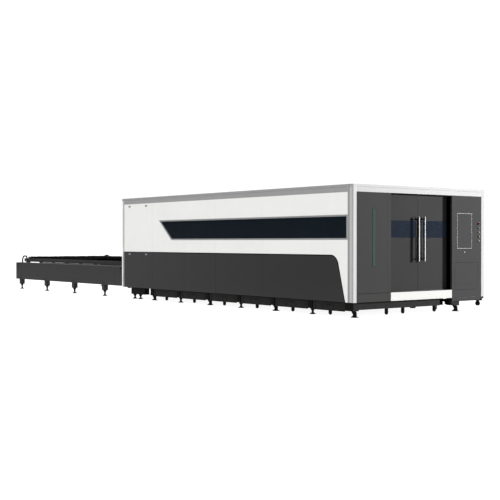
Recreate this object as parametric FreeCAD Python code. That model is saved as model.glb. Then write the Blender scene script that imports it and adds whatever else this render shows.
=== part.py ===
import FreeCAD, Part
import math
import os

# Fiber laser cutting machine: a closed cutting cabin with its bed, gantry and
# operator's end, and a table behind it that swaps two pallets in and out.
#
# Places are given as (back, across, up) in millimetres: back is the distance
# behind the operator's front face, across is the distance in from the long
# near side, and up is the height above the floor.

# Whole machine
CABIN_L = 8170.0
CABIN_H = 2400.0
TABLE_L = 6240.0
CONTROL_STRIP_W = 708.0
SKIRT_UP = 248.0
PANEL_T = 36.0
SEAM = 4.0

# Running clearances
SLIDE_GAP = 0.5
PIN_GAP = 0.05

# Corner posts and roof rails
POST_L = 157.0
POST_W = 87.0
REAR_POST_L = 110.0
FAR_POST_W = 103.0
POST_WALL = 5.0
GROOVE_W = 8.0
GROOVE_DEPTH = 3.0
RAIL_H = 144.0
RAIL_T = 60.0
ROOF_T = 30.0
ROOF_DROP = 20.0

# Near side: upper panel, slanted window, lower panel and lift-off panels behind them
WAIST_UP = 1114.0
ACCESS_L = 1273.0
SWEEP_LOW = 215.0
SWEEP_HIGH = 439.0
SWEEP_R = 220.0
WINDOW_LOW = 1387.0
WINDOW_HIGH = 1847.0
WINDOW_END_LOW = 811.0
WINDOW_END_HIGH = 287.0
WINDOW_R = 100.0
TRIM_W = 32.0
TRIM_T = 20.0
GLASS_T = 8.0
GLASS_LAP = 16.0

# Quarter-turn latches on the lift-off panels
LATCH_R = 13.0
LATCH_T = 3.0
LATCH_EDGE = 247.0
LATCH_PITCH = 756.0
LATCH_UP = (1030.0, 2180.0)

# Operator's end
HEADER_LOW = 2261.0
LEFT_PANEL_W = 873.0
RIGHT_PANEL_W = 871.0
SILL_UP = 406.0
SILL_LOW = 250.0
FRONT_T = 40.0
KICK_UP = 395.0
DOOR_SET_BACK = 100.0
DOOR_T = 40.0
DOOR_LAP = 60.0
DOOR_MEET_GAP = 4.0
DOOR_GLASS_LOW = 1427.0
DOOR_GLASS_HIGH = 1755.0
DOOR_GLASS_BORDER = 60.0
DOOR_GLASS_T = 10.0
TRACK_H = 50.0
TRACK_T = 12.0
HANDLE_LOW = 974.0
HANDLE_HIGH = 1833.0
LEFT_HANDLE_OFF = 70.0
RIGHT_HANDLE_OFF = 93.0
HANDLE_OFF = 78.0
HANDLE_R = 15.0
HANDLE_ARM_R = 10.0
HANDLE_STRIP_W = 46.0
HANDLE_STRIP_T = 6.0

# Light strip
LIGHT_EDGE = 432.0
LIGHT_W = 56.0
LIGHT_LOW = 896.0
LIGHT_HIGH = 1964.0
LIGHT_PROUD = 6.0

# Operator's screen, its cover, the cabinet door and the buttons
SCREEN_EDGE = 140.0
SCREEN_W = 462.0
SCREEN_LOW = 1207.0
SCREEN_HIGH = 1926.0
SCREEN_RIM = 25.0
COVER_T = 14.0
SCREEN_BOX_DEPTH = 56.0
HINGE_INSET = 6.0
HINGE_GAP = 4.0
HINGE_PIN_R = 4.0
HINGE_PIN_L = 24.0
PIN_END_GAP = 2.0
RIM_INSET = 4.0
RIM_T = 3.0
CABINET_EDGE = 78.0
CABINET_W = 700.0
CABINET_LOW = 403.0
CABINET_HIGH = 943.0
CABINET_T = 20.0
LOCK_UP = 1145.0
LOCK_R = 14.0
BUTTON_EDGE = 63.0
BUTTON_UP = (1713.0, 1626.0, 1543.0, 1455.0, 1368.0)
BUTTON_NAMES = ("emergency_stop", "start_button", "pause_button", "light_button", "reset_button")
BUTTON_R = 14.0
MUSHROOM_R = 22.0
COLLAR_W = 6.0
COLLAR_T = 5.0
BUTTON_PROUD = 8.0
MUSHROOM_RATIO = 2.0
BUTTON_STEM_R = 8.0
BUTTON_STROKE = 4.0

# Bed, legs and levelling feet
BED_START = 190.0
BED_OVERHANG = 248.0
BEAM_W = 136.0
BEAM_LOW = 300.0
BEAM_H = 600.0
BEAM_WALL = 12.0
STATION_FIRST = 100.0
STATION_PITCH = 1127.0
STATIONS = 7
LEG_L = 120.0
LEG_LOW = 90.0
TOE_TOP = 360.0
TOE_END = 260.0
CROSS_H = 130.0
CROSS_W = 90.0
APRON_LOW = 110.0
APRON_T = 30.0
APRON_SHORT = 440.0
FOOT_R = 55.0
FOOT_PAD_H = 16.0
FOOT_CONE_H = 26.0
FOOT_CONE_R = 38.0
FOOT_NECK_R = 18.0
STEM_R = 15.0
COLLAR_R = 50.0
COLLAR_H = 66.0
FOOT_OUT = 25.0
REAR_BLOCK_GAP = 77.0
REAR_BLOCK_L = 606.0
REAR_FOOT_INSETS = (63.0, 318.0)
FLOOR_T = 60.0
BUFFER_R = 50.0
BUFFER_LOW = 58.0
BUFFER_NECK_R = 32.0
BUFFER_EDGE = 113.0

# Scrap drawers under the bed
DRAWER_GAP = 6.0
DRAWER_FRONT = 50.0
DRAWER_END_GAP = 92.0
DRAWER_LOW = 96.0
DRAWER_TOP = 240.0
DRAWER_WALL = 4.0
PULL_W = 130.0
PULL_TOP = 220.0
PULL_LOW = 180.0
PEG_R = 34.0
PEG_LIFT = 18.0
PEG_INSET = 165.0
FRONT_PEGS = (915.0, 1352.0, 2229.0)

# Guides, racks, gantry, carriage and cutting head
X_RAIL_W = 34.0
X_RAIL_H = 30.0
RACK_W = 28.0
RACK_H = 26.0
GANTRY_HOME = 640.0
GANTRY_L = 300.0
GANTRY_RISE = 230.0
GANTRY_H = 340.0
GANTRY_WALL = 14.0
BLOCK_H = 44.0
BEARING_L = 110.0
BEARING_W = 68.0
Y_RAIL_W = 28.0
Y_RAIL_T = 24.0
Y_RAIL_EDGE = 60.0
CARRIAGE_W = 340.0
CARRIAGE_T = 60.0
CARRIAGE_NEAR = 130.0
HEAD_W = 130.0
HEAD_T = 120.0
NOZZLE_DROP = 55.0
NOZZLE_TIP_R = 7.0
NOZZLE_ROOT_R = 26.0
NOZZLE_H = 52.0
BARREL_R = 36.0
BARREL_H = 78.0
COLLIMATOR_R = 42.0
COLLIMATOR_H = 130.0
HEAD_RISE = 130.0

# Exchange table
TABLE_MARGIN = 120.0
TABLE_LOW = 261.0
TABLE_TOP = 743.0
TABLE_PLATE_T = 10.0
TABLE_FLANGE = 90.0
TABLE_LEG_START = 1075.0
TABLE_LEG_PITCH = 1633.0
TABLE_LEGS = 4
TABLE_CROSS = 60.0
TABLE_LEG_LOW = 120.0
TABLE_LEG_W = 115.0
UPPER_TRACK_T = 2.5
LOWER_TRACK_TOP = 469.5
TRACK_STRIP_T = 10.0

# Pallets
PALLET_L = 6040.0
PALLET_W = 2560.0
PALLET_H = 98.0
PALLET_BAR_W = 60.0
PORTAL_LAP = 110.0
INNER_PALLET_BACK = 1100.0
NEAR_TRACK_GAP = 8.0
FAR_TRACK_GAP = 52.0
PALLET_CROSSES = 8
SHOE_H = 24.0
SHOE_L = 110.0
SHOE_W = 50.0
SHOE_PITCH = 793.0
SHOES = 8
SLAT_T = 6.0
SLAT_PITCH = 152.0
SLAT_RISE = 60.0
SLAT_DROP = 62.0
SLAT_TEETH = 15
HOOP_R = 20.0
HOOP_END = 345.0
HOOP_BEND = 130.0
HOOP_RUN = 100.0
HOOP_TURN = 60.0
HOOP_RISE = 190.0

# Pallet drive
SHAFT_R = 22.0
SHAFT_OFF_END = 220.0
SHAFT_UP = 395.0
SPROCKET_R = 45.0
SPROCKET_T = 14.0
SPROCKET_INSET = 50.0
SPROCKET_TEETH = 18
CHAIN_GAP = 1.0
CHAIN_T = 10.0
CHAIN_OFF_CABIN = 160.0
GEARBOX_W = 100.0
MOTOR_R = 50.0
MOTOR_L = 180.0

# Built-in cabinets
SOURCE_L = 900.0
SOURCE_H = 1150.0
SOURCE_MARGIN = 50.0
RACK_START = 220.0
RACK_L = 600.0

# Places that follow from the sizes above, from the near side across
NEAR_BEAM = PANEL_T
NEAR_BEAM_FAR = NEAR_BEAM + BEAM_W
PALLET_NEAR = NEAR_BEAM_FAR + NEAR_TRACK_GAP
PALLET_FAR = PALLET_NEAR + PALLET_W
FAR_BEAM_ACROSS = PALLET_FAR + FAR_TRACK_GAP
FAR_BEAM_END = FAR_BEAM_ACROSS + BEAM_W
CABIN_W = FAR_BEAM_END + CONTROL_STRIP_W
FAR_PANEL = CABIN_W - PANEL_T
TABLE_NEAR = PALLET_NEAR - TABLE_MARGIN
TABLE_FAR = PALLET_FAR + TABLE_MARGIN
DOORWAY_NEAR = POST_W + LEFT_PANEL_W
DOORWAY_FAR = CABIN_W - FAR_POST_W - RIGHT_PANEL_W
DOOR_MIDDLE = (DOORWAY_NEAR + DOORWAY_FAR) / 2
LIGHT_ACROSS = POST_W + LIGHT_EDGE
SCREEN_NEAR = DOORWAY_FAR + SCREEN_EDGE
SCREEN_FAR = SCREEN_NEAR + SCREEN_W
CABINET_NEAR = DOORWAY_FAR + CABINET_EDGE
CABINET_FAR = CABINET_NEAR + CABINET_W
LOCK_ACROSS = (SCREEN_NEAR + SCREEN_FAR) / 2
BUTTON_ACROSS = CABIN_W - FAR_POST_W - BUTTON_EDGE
BUFFER_ACROSS = CABIN_W - BUFFER_EDGE
APRON_END = FAR_BEAM_ACROSS - APRON_SHORT
DRAWER_BACK = FAR_BEAM_ACROSS - DRAWER_END_GAP
SPROCKET_NEAR = TABLE_NEAR + SPROCKET_INSET
SPROCKET_FAR = TABLE_FAR - SPROCKET_INSET - SPROCKET_T

# Places from the front face back
TOTAL_L = CABIN_L + TABLE_L
REAR_FACE = CABIN_L - REAR_POST_L
SIDE_SEAM = REAR_FACE - ACCESS_L
WINDOW_BACK_LOW = SIDE_SEAM - WINDOW_END_LOW
WINDOW_BACK_HIGH = SIDE_SEAM - WINDOW_END_HIGH
LATCH_BACK = (REAR_FACE - LATCH_EDGE - LATCH_PITCH, REAR_FACE - LATCH_EDGE)
DOOR_BACK = DOOR_SET_BACK + DOOR_T
BED_END = STATION_FIRST + (STATIONS - 1) * STATION_PITCH + BED_OVERHANG
REAR_BLOCK = (BED_END + REAR_BLOCK_GAP, BED_END + REAR_BLOCK_GAP + REAR_BLOCK_L)
REAR_FEET = tuple(REAR_BLOCK[1] - inset for inset in REAR_FOOT_INSETS)
TABLE_LEG_FIRST = CABIN_L + TABLE_LEG_START
PALLET_BACK = CABIN_L - PORTAL_LAP
SHAFT_BACK = TOTAL_L - SHAFT_OFF_END
CHAIN_END = CABIN_L + CHAIN_OFF_CABIN

# Heights
BEAM_TOP = BEAM_LOW + BEAM_H
GANTRY_LOW = BEAM_TOP + GANTRY_RISE
GANTRY_TOP = GANTRY_LOW + GANTRY_H
NOZZLE_UP = GANTRY_LOW - NOZZLE_DROP
UPPER_TRACK_TOP = TABLE_TOP + UPPER_TRACK_T
UPPER_PALLET_UP = UPPER_TRACK_TOP + SLIDE_GAP + SHOE_H
LOWER_PALLET_UP = LOWER_TRACK_TOP + SLIDE_GAP + SHOE_H

# The part's own frame: its origin is under the middle of the whole machine
FRONT_REACH = COLLAR_T + BUTTON_STROKE + SLIDE_GAP + BUTTON_PROUD * MUSHROOM_RATIO
FRONT_X = (TOTAL_L - FRONT_REACH) / 2
NEAR_Y = -CABIN_W / 2
X_AXIS = FreeCAD.Vector(1, 0, 0)
Y_AXIS = FreeCAD.Vector(0, 1, 0)
Z_AXIS = FreeCAD.Vector(0, 0, 1)


def place(back, across, up):
    """The point this far behind the front face, in from the near side, and over the levelling line."""
    return FreeCAD.Vector(FRONT_X - back, NEAR_Y + across, FOOT_OUT + up)


def block(back, across, up):
    """A box between two distances each way."""
    size = (back[1] - back[0], across[1] - across[0], up[1] - up[0])
    return Part.makeBox(*size, place(back[1], across[0], up[0]))


def rod(radius, start, end):
    """A round bar from one point to another."""
    run = end - start
    return Part.makeCylinder(radius, run.Length, start, run)


def rounded(points, radii):
    """A closed outline through points, each corner rounded by its radius."""
    count = len(points)
    starts = []
    ends = []
    middles = []
    for i, corner in enumerate(points):
        before = (points[i - 1] - corner).normalize()
        after = (points[(i + 1) % count] - corner).normalize()
        half = before.getAngle(after) / 2
        reach = radii[i] / math.tan(half)
        inward = (before + after).normalize()
        starts.append(corner + before * reach)
        ends.append(corner + after * reach)
        middles.append(corner + inward * (radii[i] / math.sin(half) - radii[i]))
    edges = []
    for i in range(count):
        if radii[i] > 0:
            edges.append(Part.Arc(starts[i], middles[i], ends[i]).toShape())
        edges.append(Part.LineSegment(ends[i], starts[(i + 1) % count]).toShape())
    return Part.Wire(edges)


def side_plate(outline, across, radii=None):
    """A plate cut to an outline of (back, up) points, between two distances across."""
    points = [place(back, across[0], up) for back, up in outline]
    wire = rounded(points, radii or [0] * len(points))
    return Part.Face(wire).extrude(Y_AXIS * (across[1] - across[0]))


def front_plate(outline, back, radii=None):
    """A plate cut to an outline of (across, up) points, between two distances back."""
    points = [place(back[1], across, up) for across, up in outline]
    wire = rounded(points, radii or [0] * len(points))
    return Part.Face(wire).extrude(X_AXIS * (back[1] - back[0]))


def ring(outer, inner, start, end):
    """A round collar."""
    return rod(outer, start, end).cut(rod(inner, start, end))


def tube(back, across, up, wall):
    """A welded box section, its long hollow running end to end."""
    spans = [back, across, up]
    longest = max(range(3), key=lambda i: spans[i][1] - spans[i][0])
    hollow = [
        (low, high) if i == longest else (low + wall, high - wall)
        for i, (low, high) in enumerate(spans)
    ]
    return block(*spans).cut(block(*hollow))


def save(name, *solids):
    """Writes one sub-part's separate solids to its file."""
    Part.makeCompound(list(solids)).exportStep(f"parts/{name}.step")


def stations():
    """How far back each leg station of the bed stands."""
    return [STATION_FIRST + i * STATION_PITCH for i in range(STATIONS)]


def table_legs():
    """How far back each leg of the exchange table stands."""
    return [TABLE_LEG_FIRST + i * TABLE_LEG_PITCH for i in range(TABLE_LEGS)]


def foot(back, across, top):
    """A levelling foot: pad, cone, threaded stem, and a tapered collar under what it carries."""
    low = -FOOT_OUT
    cone_low = low + FOOT_PAD_H
    pad = rod(FOOT_R, place(back, across, low), place(back, across, cone_low))
    cone = Part.makeCone(FOOT_CONE_R, FOOT_NECK_R, FOOT_CONE_H, place(back, across, cone_low))
    stem = rod(STEM_R, place(back, across, cone_low), place(back, across, top))
    collar = Part.makeCone(STEM_R, COLLAR_R, COLLAR_H, place(back, across, top - COLLAR_H))
    return pad.fuse([cone, stem, collar])


def peg(back, across, top):
    """A round-nosed peg that stops just off the floor."""
    nose = PEG_LIFT - FOOT_OUT + PEG_R
    ball = Part.makeSphere(PEG_R, place(back, across, nose))
    return ball.fuse(rod(PEG_R, place(back, across, nose), place(back, across, top)))


def bed_frame():
    """Two deep side beams on legs, joined by cross members, with a front apron."""
    beams = []
    hollows = []
    for across in (NEAR_BEAM, FAR_BEAM_ACROSS):
        beams.append(block((BED_START, BED_END), (across, across + BEAM_W), (BEAM_LOW, BEAM_TOP)))
        inner = (across + BEAM_WALL, across + BEAM_W - BEAM_WALL)
        hollows.append(
            block((BED_START, BED_END), inner, (BEAM_LOW + BEAM_WALL, BEAM_TOP - BEAM_WALL))
        )
        beams.append(block((FRONT_T, TOE_END), (across, across + BEAM_W), (LEG_LOW, TOE_TOP)))
        for back in stations()[1:]:
            span = (back - LEG_L / 2, back + LEG_L / 2)
            beams.append(block(span, (across, across + BEAM_W), (LEG_LOW, BEAM_LOW)))
    for back in [BED_START + CROSS_W / 2] + stations()[1:]:
        span = (back - CROSS_W / 2, back + CROSS_W / 2)
        beams.append(block(span, (NEAR_BEAM_FAR, FAR_BEAM_ACROSS), (BEAM_LOW, BEAM_LOW + CROSS_H)))
        inner = (back - CROSS_W / 2 + BEAM_WALL, back + CROSS_W / 2 - BEAM_WALL)
        hollows.append(
            block(
                inner,
                (NEAR_BEAM_FAR, FAR_BEAM_ACROSS),
                (BEAM_LOW + BEAM_WALL, BEAM_LOW + CROSS_H - BEAM_WALL),
            )
        )
    gusset = front_plate(
        [
            (FAR_BEAM_ACROSS - BEAM_W, LEG_LOW + CROSS_W),
            (FAR_BEAM_ACROSS, LEG_LOW),
            (FAR_BEAM_ACROSS, BEAM_LOW),
            (FAR_BEAM_ACROSS - BEAM_W, BEAM_LOW),
        ],
        (FRONT_T, FRONT_T + APRON_T),
    )
    apron_near = NEAR_BEAM_FAR
    apron = block((FRONT_T, FRONT_T + APRON_T), (apron_near, APRON_END), (APRON_LOW, BEAM_LOW))
    tie = block(
        (FRONT_T, FRONT_T + APRON_T),
        (apron_near, FAR_BEAM_ACROSS),
        (SKIRT_UP, TOE_TOP),
    )
    pegs = [peg(FRONT_T + PEG_R, across, APRON_LOW + APRON_T) for across in FRONT_PEGS]
    frame = beams[0].fuse(beams[1:] + [gusset, apron, tie] + pegs).cut(hollows[0].fuse(hollows[1:]))
    save("bed_frame", frame.removeSplitter())


def cabin_floor():
    """The floor frames that carry the cabin beyond the bed, and the block under its rear."""
    up = (SKIRT_UP, SKIRT_UP + FLOOR_T)
    rear = CABIN_L - PANEL_T
    far_strip = block((FRONT_T, rear), (FAR_BEAM_END, FAR_PANEL), up)
    rear_strip = block((BED_END, rear), (PANEL_T, FAR_BEAM_END), up)
    hollow = block(
        (BED_END + PANEL_T * 2, rear - PANEL_T * 2),
        (PANEL_T * 3, FAR_BEAM_END - PANEL_T * 2),
        up,
    )
    legs = []
    for across in (NEAR_BEAM, FAR_BEAM_ACROSS):
        legs.append(block(REAR_BLOCK, (across, across + BEAM_W), (LEG_LOW, SKIRT_UP)))
    save("cabin_floor", far_strip.fuse([rear_strip] + legs).cut(hollow).removeSplitter())


def levelling_feet():
    """The bed's levelling feet, two more under the rear block, and a buffer at the far corner."""
    feet = []
    for across in (NEAR_BEAM + BEAM_W / 2, FAR_BEAM_ACROSS + BEAM_W / 2):
        for back in stations() + list(REAR_FEET):
            feet.append(foot(back, across, LEG_LOW))
    centre = BUFFER_R + PANEL_T / 2
    dome_up = BUFFER_LOW + BUFFER_R
    dome = Part.makeSphere(BUFFER_R, place(centre, BUFFER_ACROSS, dome_up))
    neck = rod(
        BUFFER_NECK_R,
        place(centre, BUFFER_ACROSS, dome_up),
        place(centre, BUFFER_ACROSS, SKIRT_UP),
    )
    save("levelling_feet", *feet, *table_feet(), dome.fuse(neck))


def scrap_drawer(number, back):
    """One open scrap drawer in the bay behind a leg station, with three stub pegs under it."""
    low = max(back + LEG_L / 2, TOE_END) + DRAWER_GAP
    high = back + STATION_PITCH - LEG_L / 2 - DRAWER_GAP
    shell = block((low, high), (DRAWER_FRONT, DRAWER_BACK), (DRAWER_LOW, DRAWER_TOP))
    inner = block(
        (low + DRAWER_WALL, high - DRAWER_WALL),
        (DRAWER_FRONT + DRAWER_WALL, DRAWER_BACK - DRAWER_WALL),
        (DRAWER_LOW + DRAWER_WALL, DRAWER_TOP),
    )
    pull = block(
        ((low + high - PULL_W) / 2, (low + high + PULL_W) / 2),
        (DRAWER_FRONT, DRAWER_FRONT + DRAWER_WALL),
        (PULL_LOW, PULL_TOP),
    )
    middle = (low + high) / 2
    pegs = [peg(middle, DRAWER_FRONT + PEG_R + DRAWER_WALL, DRAWER_LOW)]
    for back_end in (low + PEG_INSET, high - PEG_INSET):
        pegs.append(peg(back_end, DRAWER_BACK - PEG_R - DRAWER_WALL, DRAWER_LOW))
    hooks = []
    for edge, side in ((low, -1), (high, 1)):
        span = sorted((edge, edge + side * (DRAWER_GAP - SLIDE_GAP)))
        hooks.append(
            block(span, (DRAWER_FRONT, DRAWER_BACK), (DRAWER_TOP - DRAWER_GAP, DRAWER_TOP))
        )
    tray = shell.cut(inner.fuse(pull)).fuse(hooks).removeSplitter()
    save(f"scrap_drawer_{number}", tray, *pegs)


def corner_posts():
    """Four folded corner posts; the near ones have two shallow grooves down the side face."""
    posts = []
    for back in ((0, POST_L), (REAR_FACE, CABIN_L)):
        for across in ((0, POST_W), (CABIN_W - FAR_POST_W, CABIN_W)):
            near = across[0] == 0
            front = back[0] == 0
            side_face = (0, POST_WALL) if near else (CABIN_W - POST_WALL, CABIN_W)
            end_face = (0, POST_WALL) if front else (CABIN_L - POST_WALL, CABIN_L)
            full = (SKIRT_UP, CABIN_H)
            post = block(back, side_face, full)
            cap = block(back, across, (CABIN_H - POST_WALL, CABIN_H))
            post = post.fuse([block(end_face, across, full), cap]).removeSplitter()
            outer = 0 if near else CABIN_W - GROOVE_DEPTH
            for third in (1, 2):
                start = back[0] + (back[1] - back[0]) * third / 3
                groove = block((start, start + GROOVE_W), (outer, outer + GROOVE_DEPTH), full)
                post = post.cut(groove)
            posts.append(post)
    save("corner_posts", *posts)


def roof():
    """The rails round the top edge, and the roof panel let in between them."""
    side = (POST_L, REAR_FACE)
    up = (CABIN_H - RAIL_H, CABIN_H)
    ends = (POST_W, CABIN_W - FAR_POST_W)
    save(
        "roof_rails",
        tube(side, (0, RAIL_T), up, POST_WALL),
        tube(side, (CABIN_W - RAIL_T, CABIN_W), up, POST_WALL),
        tube((0, RAIL_T), ends, (HEADER_LOW, CABIN_H), POST_WALL),
        tube((CABIN_L - RAIL_T, CABIN_L), ends, up, POST_WALL),
    )
    panel_up = (CABIN_H - ROOF_DROP - ROOF_T, CABIN_H - ROOF_DROP)
    save("roof_panel", block((RAIL_T, CABIN_L - RAIL_T), (RAIL_T, CABIN_W - RAIL_T), panel_up))


def window_outline(inset):
    """The window's slanted outline, drawn in by an inset, with its corner radii."""
    slope = (WINDOW_BACK_HIGH - WINDOW_BACK_LOW) / (WINDOW_HIGH - WINDOW_LOW)
    low = WINDOW_LOW + inset
    high = WINDOW_HIGH - inset
    shift = inset * math.hypot(1, slope)
    low_back = WINDOW_BACK_LOW + slope * inset - shift
    high_back = WINDOW_BACK_HIGH - slope * inset - shift
    front = POST_L + inset
    outline = [(front, low), (low_back, low), (high_back, high), (front, high)]
    return outline, [0, WINDOW_R - inset, 0, 0]


def near_side():
    """The long near side: a light upper panel round a slanted window over a dark lower panel."""
    top = CABIN_H - RAIL_H
    low_edge = SWEEP_LOW
    upper = [
        (POST_L, top),
        (SIDE_SEAM, top),
        (SIDE_SEAM, WAIST_UP),
        (SWEEP_HIGH, WAIST_UP),
        (low_edge, SKIRT_UP),
        (POST_L, SKIRT_UP),
    ]
    hole, hole_radii = window_outline(0)
    panel = side_plate(upper, (0, PANEL_T), [0, 0, 0, SWEEP_R, 0, 0])
    panel = panel.cut(side_plate(hole, (0, PANEL_T), hole_radii))
    save("near_upper_panel", panel)
    lower = [
        (low_edge + SEAM, SKIRT_UP),
        (SWEEP_HIGH + SEAM, WAIST_UP - SEAM),
        (SIDE_SEAM, WAIST_UP - SEAM),
        (SIDE_SEAM, SKIRT_UP),
    ]
    save("near_lower_panel", side_plate(lower, (0, PANEL_T), [0, SWEEP_R - SEAM, 0, 0]))
    trim = side_plate(hole, (0, TRIM_T), hole_radii)
    opening, opening_radii = window_outline(TRIM_W)
    save("window_trim", trim.cut(side_plate(opening, (0, TRIM_T), opening_radii)))
    pane, pane_radii = window_outline(GLASS_LAP)
    save("window_glass", side_plate(pane, (TRIM_T, TRIM_T + GLASS_T), pane_radii))


def flat_side_panels():
    """The lift-off panels at the rear of the near side, and the plain far side."""
    top = CABIN_H - RAIL_H
    rear = (SIDE_SEAM + SEAM, REAR_FACE)
    main = (POST_L, SIDE_SEAM)
    near = (0, PANEL_T)
    far = (FAR_PANEL, CABIN_W)
    upper = (WAIST_UP, top)
    lower = (SKIRT_UP, WAIST_UP - SEAM)
    save("access_panel_upper", block(rear, near, upper))
    save("access_panel_lower", block(rear, near, lower))
    save("far_upper_panel", block(main, far, upper), block(rear, far, upper))
    save("far_lower_panel", block(main, far, lower), block(rear, far, lower))
    latches = []
    for up in LATCH_UP:
        for back in LATCH_BACK:
            latches.append(rod(LATCH_R, place(back, -LATCH_T, up), place(back, 0, up)))
            outside = CABIN_W + LATCH_T
            latches.append(rod(LATCH_R, place(back, CABIN_W, up), place(back, outside, up)))
    save("panel_latches", *latches)


def rear_wall():
    """The wall at the table end, with the portal that the pallets pass through."""
    span = (CABIN_L - PANEL_T, CABIN_L)
    wall = block(span, (POST_W, CABIN_W - FAR_POST_W), (SKIRT_UP, CABIN_H - RAIL_H))
    portal = block(
        span,
        (NEAR_BEAM_FAR, FAR_BEAM_ACROSS),
        (LOWER_TRACK_TOP - TRACK_STRIP_T, UPPER_PALLET_UP + PALLET_H + SLAT_RISE * 2),
    )
    save("rear_wall", wall.cut(portal))


def front_walls():
    """The fixed panels either side of the doorway, the sill, and the door tracks."""
    left = (POST_W, DOORWAY_NEAR)
    back = (0, FRONT_T)
    save(
        "front_left_panel",
        block(back, left, (KICK_UP + SEAM, HEADER_LOW)),
        block(back, left, (SKIRT_UP, KICK_UP)),
    )
    right = (DOORWAY_FAR, CABIN_W - FAR_POST_W)
    panel = block(back, right, (SKIRT_UP, HEADER_LOW))
    screen = block(
        back,
        (SCREEN_NEAR, SCREEN_FAR),
        (SCREEN_LOW, SCREEN_HIGH),
    )
    cabinet = block(
        back,
        (CABINET_NEAR, CABINET_FAR),
        (CABINET_LOW, CABINET_HIGH),
    )
    panel = panel.cut(screen.fuse(cabinet))
    for up in BUTTON_UP:
        stem_hole = rod(
            BUTTON_STEM_R + PIN_GAP,
            place(FRONT_T, BUTTON_ACROSS, up),
            place(0, BUTTON_ACROSS, up),
        )
        panel = panel.cut(stem_hole)
    for low, high, edge in (
        (SCREEN_LOW, SCREEN_HIGH, SCREEN_FAR),
        (CABINET_LOW, CABINET_HIGH, CABINET_FAR),
    ):
        for up, way in ((low, 1), (high, -1)):
            start = place(HINGE_INSET, edge - HINGE_GAP - HINGE_INSET, up)
            panel = panel.fuse(rod(HINGE_PIN_R, start, start + Z_AXIS * way * HINGE_PIN_L))
    save("front_right_panel", panel, screen_box())
    doorway = (DOORWAY_NEAR, DOORWAY_FAR)
    riser = block((0, FRONT_T), doorway, (SILL_LOW, SILL_UP))
    tread = block((0, DOOR_SET_BACK - SEAM), doorway, (SILL_UP - TRACK_T, SILL_UP))
    save("front_sill", riser.fuse(tread).removeSplitter())


def door_tracks():
    """The rails that both door leaves hang from and run along."""
    span = (POST_W, CABIN_W - FAR_POST_W)
    top = (HEADER_LOW - TRACK_H, HEADER_LOW)
    hanger = block((DOOR_BACK + SLIDE_GAP, DOOR_BACK + SLIDE_GAP + TRACK_T), span, top)
    lid = block((FRONT_T, DOOR_BACK + SLIDE_GAP + TRACK_T), span, (HEADER_LOW - TRACK_T, HEADER_LOW))
    runner = block(
        (DOOR_SET_BACK - SEAM, DOOR_BACK + SEAM),
        span,
        (SILL_UP - TRACK_H + TRACK_T, SILL_UP),
    )
    save("door_tracks", hanger.fuse(lid).removeSplitter(), runner)


def door(side, edge, meet):
    """One door leaf, its window, and its bar handle, from the jamb edge to the meeting edge."""
    across = tuple(sorted((edge, meet)))
    back = (DOOR_SET_BACK, DOOR_BACK)
    up = (SILL_UP + SLIDE_GAP, HEADER_LOW - TRACK_T - SLIDE_GAP)
    glass_up = (DOOR_GLASS_LOW, DOOR_GLASS_HIGH)
    glass = (across[0] + DOOR_GLASS_BORDER, across[1] - DOOR_GLASS_BORDER)
    rebate = block((DOOR_SET_BACK, DOOR_SET_BACK + DOOR_GLASS_T), glass, glass_up)
    lip = DOOR_GLASS_BORDER / 2
    through = block(
        back,
        (glass[0] + lip, glass[1] - lip),
        (glass_up[0] + lip, glass_up[1] - lip),
    )
    leaf = block(back, across, up).cut(rebate.fuse(through))
    save(f"{side}_door", leaf)
    save(f"{side}_door_glass", rebate)


def door_handle(side, across):
    """A tall bar on two arms and a backing strip."""
    face = DOOR_SET_BACK
    strip = block(
        (face - HANDLE_STRIP_T, face),
        (across - HANDLE_STRIP_W / 2, across + HANDLE_STRIP_W / 2),
        (HANDLE_LOW, HANDLE_HIGH),
    )
    bar_back = face - HANDLE_OFF
    bar = rod(HANDLE_R, place(bar_back, across, HANDLE_LOW), place(bar_back, across, HANDLE_HIGH))
    arms = []
    for up in (HANDLE_LOW + HANDLE_STRIP_W, HANDLE_HIGH - HANDLE_STRIP_W):
        arms.append(
            rod(HANDLE_ARM_R, place(face, across, up), place(bar_back, across, up))
        )
    save(f"{side}_handle", strip.fuse([bar] + arms))


def doors():
    """Two leaves that part at the middle of the doorway, each behind its own side panel."""
    half_gap = DOOR_MEET_GAP / 2
    door("left", DOORWAY_NEAR - DOOR_LAP, DOOR_MIDDLE - half_gap)
    door("right", DOORWAY_FAR + DOOR_LAP, DOOR_MIDDLE + half_gap)
    door_handle("left", DOOR_MIDDLE - LEFT_HANDLE_OFF)
    door_handle("right", DOOR_MIDDLE + RIGHT_HANDLE_OFF)


def light_strip():
    """The round-ended light strip on the left front panel."""
    half = LIGHT_W / 2
    outline = [
        (LIGHT_ACROSS - half, LIGHT_LOW),
        (LIGHT_ACROSS + half, LIGHT_LOW),
        (LIGHT_ACROSS + half, LIGHT_HIGH),
        (LIGHT_ACROSS - half, LIGHT_HIGH),
    ]
    radius = half - GROOVE_DEPTH
    save("light_strip", front_plate(outline, (-LIGHT_PROUD, 0), [radius] * 4))


def hinged_cover(near, far, low, high, thickness):
    """A flat cover in its opening, drilled top and bottom on the hinge line at its far edge."""
    cover = block(
        (0, thickness),
        (near + HINGE_GAP, far - HINGE_GAP),
        (low + HINGE_GAP, high - HINGE_GAP),
    )
    for up, way in ((low, 1), (high, -1)):
        start = place(HINGE_INSET, far - HINGE_GAP - HINGE_INSET, up)
        cover = cover.cut(rod(HINGE_PIN_R + PIN_GAP, start, start + Z_AXIS * way * (HINGE_PIN_L + PIN_END_GAP)))
    return cover


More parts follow.
